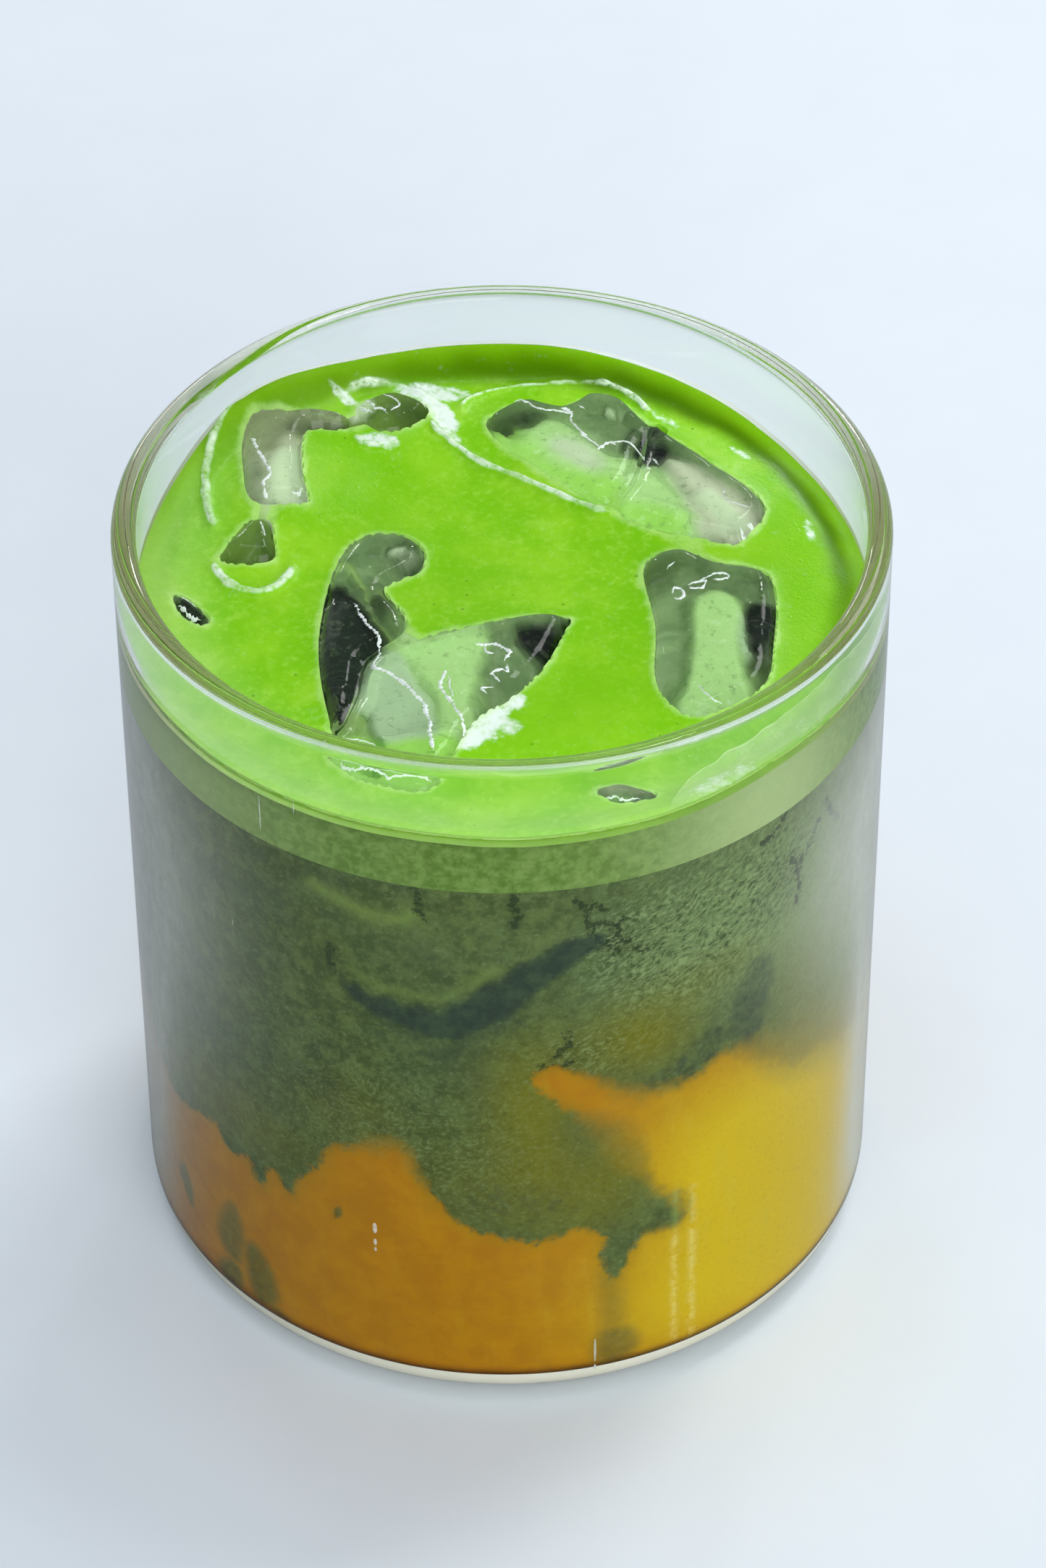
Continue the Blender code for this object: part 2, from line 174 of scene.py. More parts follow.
# Where the puree meets the milk inside the drink: mean height, and angle and height at the wall
PUREE_MEAN = 33.0
SWIRL_RISE, SWIRL_LONG, SWIRL_DEEP = 1.5, 9, 8  # the puree's swirl in the middle, as in the CAD model
PUREE_HEEL = 2.0  # its lower edge's rounding, tighter than the glass's, because the foot shows it lower
PUREE_LINE = (
    (-180, 33), (-150, 28), (-120, 24), (-95, 21), (-75, 22), (-60, 26), (-50, 26), (-41, 23), (-33, 28),
    (-24, 35), (-15, 36), (-5, 41), (5, 48), (12, 47), (23, 43), (35, 44), (43, 41), (52, 36), (70, 31),
    (95, 30), (120, 35), (150, 29),
)

# What shows at the wall, as angle and height. The milk's lower edge runs right round, with its plume and
# the plume's tail hanging into the puree, and a tongue of puree over the plume.
MILK_EDGE = (
    (-181, 34), (-172, 29), (-160, 33), (-148, 26), (-135, 30), (-122, 21), (-112, 25), (-101, 22),
    (-92, 30), (-84, 34), (-78, 32.8), (-74.4, 30.6), (-71.3, 27.6), (-68.2, 26), (-65, 24.3), (-62.5, 24.5),
    (-60.3, 25.4), (-52, 27.2), (-48.7, 24.5), (-44.5, 24.9), (-42, 22.4), (-39.4, 26.1), (-36.4, 23.7),
    (-34.1, 27.1), (-30.6, 29.9), (-29.2, 32.5), (-25.3, 34.8), (-18.1, 36.7), (-14.7, 35.5), (-12.5, 31),
    (-9.2, 27.6), (-4.7, 25.3), (-0.2, 24), (6.5, 23.9), (9.9, 24.9), (14.3, 23.4), (15.8, 16.5),
    (18.2, 17.7), (19.9, 20.6), (22.3, 22.2), (26.7, 21.5), (28.6, 23.6), (26.6, 26.4), (22.8, 28.6),
    (20.5, 32.8), (17, 37.5), (11, 41.7), (3.8, 46.4), (3.4, 47.6), (7.7, 49.1), (11, 47.7), (16.7, 44.9),
    (23.8, 42.9), (28.7, 42.8), (31.9, 43.8), (35.3, 44.5), (42.6, 41.7), (51.3, 37.0), (62.1, 34.5),
    (71.6, 31.5), (84, 34), (94, 27), (105, 31), (117, 38), (128, 33), (140, 27), (151, 31), (162, 26),
    (172, 31), (181, 34),
)
# Scraps of milk in the puree: strength, softness, outline
MILK_SCRAPS = (
    (0.72, 1.0, (
        (-51.3, 14.5), (-49.0, 16.3), (-47.1, 14.2), (-46.8, 9.8), (-48.4, 7.3), (-51.6, 7.9), (-53.3, 10.4),
    )),
    (0.8, 1.0, (
        (-46.4, 11.0), (-43.8, 12.2), (-40.9, 9.8), (-39.6, 6.5), (-40.8, 4.4), (-44.0, 3.8), (-45.9, 6.3),
    )),
    (0.85, 0.8, ((-53.5, 4.6), (-50.1, 7.0), (-47.7, 6.2), (-48.0, 3.9), (-51.2, 2.8))),
    (0.8, 0.5, ((-65.0, 12.6), (-62.8, 14.6), (-60.6, 11.7), (-60.8, 9.2), (-62.4, 9.8))),
    (0.9, 0.3, ((-28.0, 24.4), (-26.9, 24.8), (-26.8, 23.4), (-27.9, 23.0))),
    (0.6, 1.2, ((14.5, 8.6), (18.9, 8.4), (20.8, 5.4), (17.1, 3.2), (13.8, 4.6))),
    (0.35, 1.6, ((14.6, 17.6), (17.4, 17.4), (18.4, 9.4), (15.0, 8.4))),
    (0.6, 0.6, ((-41.6, 4.6), (-39.0, 4.2), (-37.6, 3.2), (-40.4, 3.4))),
    (0.9, 0.6, ((88, 18), (91, 19), (95, 13), (93, 11), (89, 14))),
    (0.9, 0.6, ((131, 20), (134, 21), (137, 15), (134, 13))),
    (0.9, 0.6, ((-140, 15), (-136, 17), (-131, 11), (-134, 9), (-138, 11))),
    (0.9, 0.6, ((168, 14), (171, 16), (175, 10), (172, 9))),
)
# Sunk ice that shows as a shadow in the milk: strength, softness, outline
SUNK_ICE = (
    (1.0, 1.1, (
        (-25.4, 58.9), (-24.2, 57.8), (-23.3, 58.6), (-21.6, 57.9), (-19.8, 57.3), (-17.4, 57.9),
        (-15.2, 56.9), (-12.6, 57.5), (-10.4, 56.6), (-8.0, 58.4), (-5.6, 58.8), (-3.4, 61.0), (-1.4, 61.3),
        (0.8, 63.2), (4.4, 64.6), (7.6, 66.2), (10.9, 66.8), (14.4, 66.8), (15.0, 65.6), (11.8, 63.8),
        (8, 61.4), (4, 58.8), (0, 56.0), (-4, 54.2), (-9, 52.6), (-14, 53.2), (-19.0, 54.2), (-22.4, 55.4),
        (-24.6, 57.0),
    )),
    (0.5, 3.0, (
        (-21, 56), (-12, 55), (-2, 58), (8, 62), (6, 57), (0, 52.4), (-8, 49), (-16, 50.6), (-22, 53.4),
    )),
    (0.55, 1.2, (
        (20.5, 43.4), (23.6, 46.0), (28.6, 47.4), (33.4, 49.8), (35.4, 47.4), (34.6, 44.8), (28.7, 42.9),
        (22.6, 43.0),
    )),
    (0.6, 1.3, (
        (37.0, 45.4), (35.8, 48.6), (36.8, 52.0), (39.8, 55.0), (43.2, 56.0), (45.0, 52.4), (44.2, 47.6),
        (41.0, 43.6),
    )),
    (0.45, 2.4, (
        (-67, 57), (-60, 53.4), (-54, 49.6), (-49, 46.6), (-47.6, 49.0), (-54, 53.2), (-62, 57.6),
        (-66, 59.5),
    )),
    (0.7, 1.0, ((-72.4, 26), (-69.8, 24.4), (-69, 19), (-71, 17.6), (-73, 21))),
    (0.3, 2.0, ((-30, 72.8), (-14, 72.6), (-10, 71.6), (-18, 70.9), (-27, 71.4))),
    (0.4, 5.0, ((-34, 50), (-27, 54), (-24, 46), (-22, 38), (-29, 37), (-36, 42))),
    (0.4, 3.0, ((-4, 33), (8, 32), (14, 28), (8, 26), (-4, 26), (-9, 29))),
    (0.7, 2.0, ((98, 60), (106, 52), (118, 50), (121, 54), (110, 60), (101, 65))),
    (0.8, 2.0, ((150, 64), (158, 57), (172, 55), (181, 59), (179, 63), (165, 61), (154, 67))),
    (0.8, 2.0, ((-181, 59), (-172, 54), (-163, 56), (-160, 61), (-170, 60), (-181, 63))),
    (0.6, 2.0, ((-120, 62), (-110, 55), (-98, 53), (-95, 57), (-106, 61), (-117, 67))),
)
# Pale creases in the milk and pale runs in the puree: strength, half-width, points
CREASES = (
    (0.9, 0.9, ((-29.5, 70.4), (-27.0, 69.9), (-23.6, 69.0), (-20.0, 68.4), (-16.4, 68.6), (-13.6, 69.6))),
    (0.5, 0.7, ((-23.4, 60.2), (-19.6, 58.8), (-15.4, 58.8), (-10.4, 58.4), (-6.0, 60.4), (-1.2, 63.0))),
    (0.35, 0.8, ((-52.6, 52.0), (-56.0, 55.0), (-60.6, 58.4))),
    (0.9, 0.4, ((26.9, 27.0), (26.9, 17.0), (27.0, 4.0))),
    (0.9, 0.45, ((30.0, 26.4), (30.1, 16.0), (30.2, 3.6))),
)
# Dark cracks in the frosted milk, each from its start down to its end
CRACKS = (
    ((-13.4, 73.0), (-12.8, 71.6), (-13.0, 70.2), (-12.2, 69.0)),
    ((1.4, 73.0), (1.0, 71.4), (1.9, 70.2), (1.3, 69.0)),
    ((10.4, 71.6), (11.6, 70.6), (13.2, 71.0), (14.8, 69.8)),
    ((12.2, 70.6), (12.0, 68.2), (13.6, 66.8), (13.2, 65.0)),
    ((13.8, 68.2), (16.2, 67.4), (17.8, 68.2)), ((16.4, 67.4), (17.4, 65.4), (16.6, 63.8)),
    ((14.0, 66.0), (16.0, 64.6), (18.6, 65.0), (20.8, 63.2)), ((-26.8, 62.8), (-27.4, 60.8), (-26.6, 59.4)),
    ((47.8, 66.6), (49.4, 64.8), (50.2, 61.6), (49.6, 59.6)), ((50.2, 64.8), (52.0, 65.8), (54.6, 68.6)),
    ((56.2, 70.4), (58.6, 67.2), (60.2, 66.0)), ((41.6, 71.2), (44.0, 71.4), (46.2, 73.0)),
    ((7.4, 50.2), (9.4, 52.0), (9.0, 54.0)), ((5.2, 49.2), (7.2, 48.6), (9.8, 49.4)),
)
CRACK_REACH = 1.5
WARM = (  # where puree tints the milk: middle, height, half-width, half-height, amount
    (3, 46, 8, 8, 0.55), (21, 51, 9, 5.5, 0.9), (54, 46, 12, 10, 0.5), (0, 31, 14, 8, 0.45),
    (14, 27, 8, 5, 0.3), (17, 33, 8, 6, 0.5), (72, 40, 12, 12, 0.3),
    (-50, 31, 22, 5, 0.35), (-72, 24, 8, 7, 0.5), (-25, 40, 10, 5, 0.3), (33, 57, 8, 3, 0.35),
    (5, 38, 6, 9, 0.4),
    (110, 42, 20, 8, 0.4), (-150, 36, 20, 8, 0.4), (165, 38, 20, 8, 0.4),
)
PALE_HAZE_REFLECTION = (  # where the side is paler: haze inside the glass, and painted reflection near its edges
    (64, 60, 14, 18, 0.7), (80, 50, 11, 24, 1.2), (80, 20, 11, 18, 1.2), (-79, 17, 9, 16, 0.7),
    (76, 8, 10, 10, 0.4), (-64, 58, 17, 24, 0.65),
    (-82, 46, 15, 34, 1.8), (130, 62, 30, 12, 0.4), (-130, 60, 30, 14, 0.5),
)
FROST = (  # where the milk has a rough, frosted crust
    (32, 63, 13, 9, 1.0), (20, 64, 8, 6, 0.8), (46, 66, 9, 7, 0.7), (-26, 40, 16, 12, 0.3),
    (-6, 36, 12, 10, 0.25),
    (120, 60, 20, 12, 0.8), (-150, 50, 24, 14, 0.7), (12, 50, 8, 4, 0.5),
)
LIGHT = (  # where the milk is a paler green
    (35, 63, 17, 10, 1.0), (-10, 67, 20, 4, 0.12), (52, 62, 12, 12, 0.7), (66, 46, 16, 14, 1.0),
    (24, 60, 8, 5, 0.3), (150, 66, 30, 8, 0.5),
)
YELLOW = (  # where light from the right is painted into the puree: lighter and yellower
    (36, 28, 17, 14, 1.0), (58, 24, 16, 18, 0.9), (80, 24, 12, 20, 0.8), (27, 10, 16, 9, 0.5),
    (46, 6, 20, 10, 0.6),
    (74, 8, 18, 14, 0.9), (110, 20, 30, 16, 0.4), (170, 16, 30, 12, 0.5),
)
SOFT_EDGE = (  # where milk and puree blend softly
    (58, 40, 16, 14, 1.0), (18, 37, 7, 7, 0.55), (75, 32, 14, 10, 0.8), (-19, 34, 5, 5, 0.3),
    (150, 30, 20, 9, 0.5),
    (27, 25, 6, 5, 0.12),
)


def eased(value):
    t = np.clip(value, 0.0, 1.0)
    return t * t * (3 - 2 * t)


def angle_of(x, y):
    return np.degrees(np.arctan2(x, -y))


def on_wall(angle, radius):
    turn = np.radians(angle)
    return radius * np.sin(turn), -radius * np.cos(turn)


def along_wall(outline):
    """Angle and height as millimetres along the drink's side and up it."""
    points = np.array(outline, float)
    points[:, 0] *= math.pi / 180 * DRINK_RADIUS
    return points


def smooth_curve(points, step, closed=True):
    """Points at about every step along a Catmull-Rom curve through the given ones."""
    p = np.array(points, float)
    count = len(p)
    if not closed:
        p = np.vstack((2 * p[0] - p[1], p, 2 * p[-1] - p[-2]))
    made = []
    for i in range(count if closed else count - 1):
        a, b, c, d = (p[(i + k - closed) % len(p)] for k in range(4))
        pieces = max(1, round(float(np.linalg.norm(c - b)) / step))
        t = np.arange(pieces)[:, None] / pieces
        made.append(
            0.5 * (2 * b + (c - a) * t + (2 * a - 5 * b + 4 * c - d) * t**2 + (3 * b - a - 3 * c + d) * t**3)
        )
    if not closed:
        made.append(p[-2:-1])
    return np.vstack(made)


def distance_to_line(x, y, line):
    """Distance of each point to a polyline."""
    best = np.full(x.shape, np.inf)
    for (ax, ay), (bx, by) in zip(line[:-1], line[1:], strict=True):
        ex, ey = bx - ax, by - ay
        t = np.clip(((x - ax) * ex + (y - ay) * ey) / max(ex * ex + ey * ey, 1e-12), 0, 1)
        best = np.minimum(best, np.hypot(x - ax - t * ex, y - ay - t * ey))
    return best


def depth_inside(x, y, loop, reach=4.0):
    """Distance of each point to a closed outline, positive inside it. Points beyond reach get -reach."""
    (low_x, low_y), (high_x, high_y) = loop.min(axis=0) - reach, loop.max(axis=0) + reach
    near = (x > low_x) & (x < high_x) & (y > low_y) & (y < high_y)
    result = np.full(x.shape, -reach)
    px, py = x[near], y[near]
    best = distance_to_line(px, py, np.vstack((loop, loop[:1])))
    inside = np.zeros(px.shape, bool)
    for (ax, ay), (bx, by) in zip(loop, np.roll(loop, -1, axis=0), strict=True):
        if ay == by:
            continue
        crosses = (ay > py) != (by > py)
        inside ^= crosses & (px < (bx - ax) * (py - ay) / (by - ay) + ax)
    result[near] = np.where(inside, best, -best)
    return result


def ripple(x, y, scale, seed, waves=5):
    """A smooth uneven field between about -1 and 1, with features of the given size."""
    draw = np.random.default_rng(seed)
    total = np.zeros(np.shape(x))
    for _ in range(waves):
        turn = draw.uniform(0, math.tau)
        size = scale * draw.uniform(0.7, 1.5)
        start = draw.uniform(0, math.tau)
        total = total + np.sin((x * math.cos(turn) + y * math.sin(turn)) * math.tau / size + start)
    return total / waves


def ring_value(table, angle):
    """A value eased between the angles of a table that runs round the glass."""
    angles = np.array([a for a, _ in table], float)
    values = np.array([v for _, v in table], float)
    angles = np.append(angles, angles[0] + 360)
    values = np.append(values, values[0])
    place = (angle - angles[0]) % 360 + angles[0]
    i = np.clip(np.searchsorted(angles, place, side="right") - 1, 0, len(angles) - 2)
    t = (place - angles[i]) / (angles[i + 1] - angles[i])
    return values[i] + (values[i + 1] - values[i]) * eased(t)


def make_mesh(name, points, faces, **attributes):
    """A mesh from points in millimetres. Each attribute is one number for each point."""
    mesh = bpy.data.meshes.new(name)
    mesh.from_pydata((np.asarray(points) * MM).tolist(), [], faces)
    mesh.shade_smooth()
    mesh.set_sharp_from_angle(angle=math.radians(SHARP_ABOVE))
    for key, values in attributes.items():
        made = mesh.attributes.new(key, "FLOAT", "POINT")
        made.data.foreach_set("value", np.ascontiguousarray(values, np.float32))
    return mesh


def add_piece(name, mesh, finish, slot, *nodes):
    """A piece that rides on the part and stands for the given CAD nodes."""
    made = bpy.data.objects.new(name, mesh)
    bpy.context.scene.collection.objects.link(made)
    mesh.materials.append(finish)
    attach(made, "root")
    if nodes:
        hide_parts(*nodes)


def quads(rows, columns, first=0, closed=True):
    """Faces of a grid of rows of points, wound to face away from the axis when rows go up."""
    faces = []
    for r in range(rows - 1):
        for c in range(columns if closed else columns - 1):
            a, b = first + r * columns + c, first + r * columns + (c + 1) % columns
            faces.append((a, b, b + columns, a + columns))
    return faces


# The glass


def arc(centre_r, centre_z, radius, start, end, pieces):
    turn = np.radians(np.linspace(start, end, pieces + 1))
    return list(zip(centre_r + radius * np.cos(turn), centre_z + radius * np.sin(turn), strict=True))


def bore_at(z):
    """The radius of the glass's inside, which narrows a little towards the lip."""
    narrowing = BORE - (GLASS_RADIUS - 2 * BEAD)
    return BORE - narrowing * eased((z - GLASS_HEIGHT + BEAD_NECK) / (BEAD_NECK - BEAD))


def glass_mesh():
    """The tumbler, turned from the axis up its inside, over the bead, down its outside and in again."""
    inside = [(0.0, FLOOR), (10.0, FLOOR), (25.0, FLOOR)]
    inside += arc(BORE - INNER_HEEL, FLOOR + INNER_HEEL, INNER_HEEL, -90, 0, 14)
    inside += [(BORE, z) for z in np.linspace(12, GLASS_HEIGHT - BEAD_NECK - 2, 20)]
    bead_r, bead_z = GLASS_RADIUS - BEAD, GLASS_HEIGHT - BEAD
    inside += [(float(bore_at(z)), z) for z in np.linspace(GLASS_HEIGHT - BEAD_NECK, bead_z, 13)]
    rim = arc(bead_r, bead_z, BEAD, 180, 0, 24)[1:]
    outside = [(GLASS_RADIUS, z) for z in np.linspace(GLASS_HEIGHT - BEAD_NECK, HEEL + 1, 22)]
    outside += arc(GLASS_RADIUS - HEEL, HEEL, HEEL, 0, -90, 16)
    underside = [(PUNT_RADIUS + 4.0, 0.0), (PUNT_RADIUS, 0.0)]
    underside += [(PUNT_RADIUS * (1 - t), PUNT_HEIGHT * float(eased(t * 2))) for t in (0.15, 0.3, 0.45, 0.7)]
    profile = inside + rim + outside + underside + [(0.0, PUNT_HEIGHT)]
    turn = np.linspace(0, math.tau, GLASS_STEPS, endpoint=False)
    ring = profile[1:-1]
    points = [(r * math.sin(a), -r * math.cos(a), z) for r, z in ring for a in turn]
    faces = [face[::-1] for face in quads(len(ring), GLASS_STEPS)]
    top, bottom = len(points), len(points) + 1
    points += [(0, 0, profile[0][1]), (0, 0, profile[-1][1])]
    last = (len(ring) - 1) * GLASS_STEPS
    for i in range(GLASS_STEPS):
        j = (i + 1) % GLASS_STEPS
        faces.append((top, i, j))
        faces.append((bottom, last + j, last + i))
    return make_mesh("glass_clear", points, faces)


def foot_light_mesh():
    """The light that the foot gathers, as a thin ring just inside the heel."""
    profile = arc(GLASS_RADIUS - HEEL, HEEL, HEEL - FOOT_LIGHT_INSET, FOOT_LIGHT_LOW, FOOT_LIGHT_HIGH, 8)
    turn = np.linspace(0, math.tau, GLASS_STEPS, endpoint=False)
    points = [(r * math.sin(a), -r * math.cos(a), z) for r, z in profile for a in turn]
    return make_mesh("foot_light", points, quads(len(profile), GLASS_STEPS))


def lip_light_mesh():
    """The light that the lip gathers, as a thin ring in the wall at the foam's edge."""
    angle = np.linspace(0, 360, GLASS_STEPS, endpoint=False)
    points = []
    for radius in np.linspace(BORE + 0.05, GLASS_RADIUS - 0.15, LIP_LIGHT_RINGS):
        x, y = on_wall(angle, radius)
        edge_x, edge_y = on_wall(angle, BORE)
        points.append(np.stack((x, y, foam_level(edge_x, edge_y) - LIP_LIGHT_DROP), axis=1))
    shares = {}
    for side, away, (end, fade) in (
        ("back", np.abs(angle - 180), LIP_LIGHT_BACK),
        ("front", np.minimum(angle, 360 - angle), LIP_LIGHT_FRONT),
    ):
        shares[side] = np.tile(eased((end - away) / fade), LIP_LIGHT_RINGS)
    return make_mesh("lip_light", np.vstack(points), quads(LIP_LIGHT_RINGS, GLASS_STEPS), **shares)


def film_mesh():
    """The thin film of foam left on the inner wall at the front right."""
    angle = np.linspace(FILM_EDGE[0][0], FILM_EDGE[-1][0], FILM_COLUMNS)
    top = np.interp(angle, *np.array(FILM_EDGE, float).T) + 0.25 * ripple(angle, angle, 6.0, SEED + 80)
    low = foam_level(*on_wall(angle, BORE)) - FILM_UNDER
    fade = eased((angle - angle[0]) / FILM_FADE[0]) * eased((angle[-1] - angle) / FILM_FADE[1])
    points, above = [], []
    for t in np.linspace(0, 1, FILM_ROWS):
        z = low + (np.maximum(top, low + 0.1) - low) * t
        x, y = on_wall(angle, bore_at(z) - FILM_THICKNESS)
        points.append(np.stack((x, y, z), axis=1))
        above.append(np.clip(top - z, 0, 9))
    faces = quads(FILM_ROWS, FILM_COLUMNS, closed=False)
    fields = {"edge": np.concatenate(above), "fade": np.tile(fade, FILM_ROWS)}
    return make_mesh("foam_film", np.vstack(points), faces, **fields)


def drips_mesh():
    """Small drops that have run down the outside of the glass."""
    points, faces = [], []
    for angle, height, half_width, half_height in DRIPS:
        first = len(points)
        for ring in range(DROP_RINGS + 1):
            share = ring / DROP_RINGS
            for step in range(DROP_STEPS):
                turn = math.tau * step / DROP_STEPS
                across = half_width * share * math.sin(turn) / GLASS_RADIUS
                bulge = DROP_BULGE * half_width * math.sqrt(max(0.0, 1 - share**2))
                out = GLASS_RADIUS - DROP_SUNK + bulge
                a = math.radians(angle) + across
                z = height + half_height * share * math.cos(turn)
                points.append((out * math.sin(a), -out * math.cos(a), z))
        drop = quads(DROP_RINGS + 1, DROP_STEPS, first)
        faces += [(a, d, c, b) for a, b, c, d in drop]
    return make_mesh("glass_drips", points, faces)


# The foam's surface


def mound(x, y, entry):
    middle_x, middle_y, rise, half_width, half_depth, turn = entry
    c, s = math.cos(math.radians(turn)), math.sin(math.radians(turn))
    dx, dy = x - middle_x, y - middle_y
    return rise * np.exp(-(((dx * c + dy * s) / half_width) ** 2) - ((dy * c - dx * s) / half_depth) ** 2)


def wall_climb(x, y):
    return eased((np.hypot(x, y) - (BORE - 0.3) + MENISCUS_WIDTH) / MENISCUS_WIDTH) ** 2


def foam_level(x, y):
    """The foam's surface without its ridges: level, lifted by ice and climbing the wall."""
    rise = np.full(np.shape(x), MENISCUS_RISE)
    angle = angle_of(x, y)
    for middle, height, spread in WALL_RISES:
        off = (angle - middle + 180) % 360 - 180
        rise = rise + height * np.exp(-((off / spread) ** 2))
    level = FOAM_LEVEL + sum(mound(x, y, entry) for entry in MOUNDS) + rise * wall_climb(x, y)
    return level + 0.12 * ripple(x, y, 16, SEED) + 0.04 * ripple(x, y, 5, SEED + 1)


def foam_ridges(x, y):
    """How high the ridges stand at each point, and how strongly a white highlight is painted on them."""
    total = np.zeros(np.shape(x))
    highlight = total.copy()
    x, y = x + 0.16 * ripple(x, y, 2.2, SEED + 30), y + 0.16 * ripple(x, y, 2.2, SEED + 31)
    for i, (height, width, highlight_strength, points) in enumerate(RIDGES):
        line = smooth_curve(points, 1.0, closed=False)
        away = distance_to_line(x, y, line)
        uneven = 1 + 0.35 * ripple(x, y, 4, SEED + 10 + i) + 0.15 * ripple(x, y, 1.5, SEED + 32)
        to_end = np.minimum(*(np.hypot(x - end_x, y - end_y) for end_x, end_y in (line[0], line[-1])))
        share = uneven * eased(to_end / 3) * np.exp(-((away / width) ** 2))
        total = np.maximum(total, height * share)
        highlight = np.maximum(highlight, highlight_strength * share)
    return total, highlight
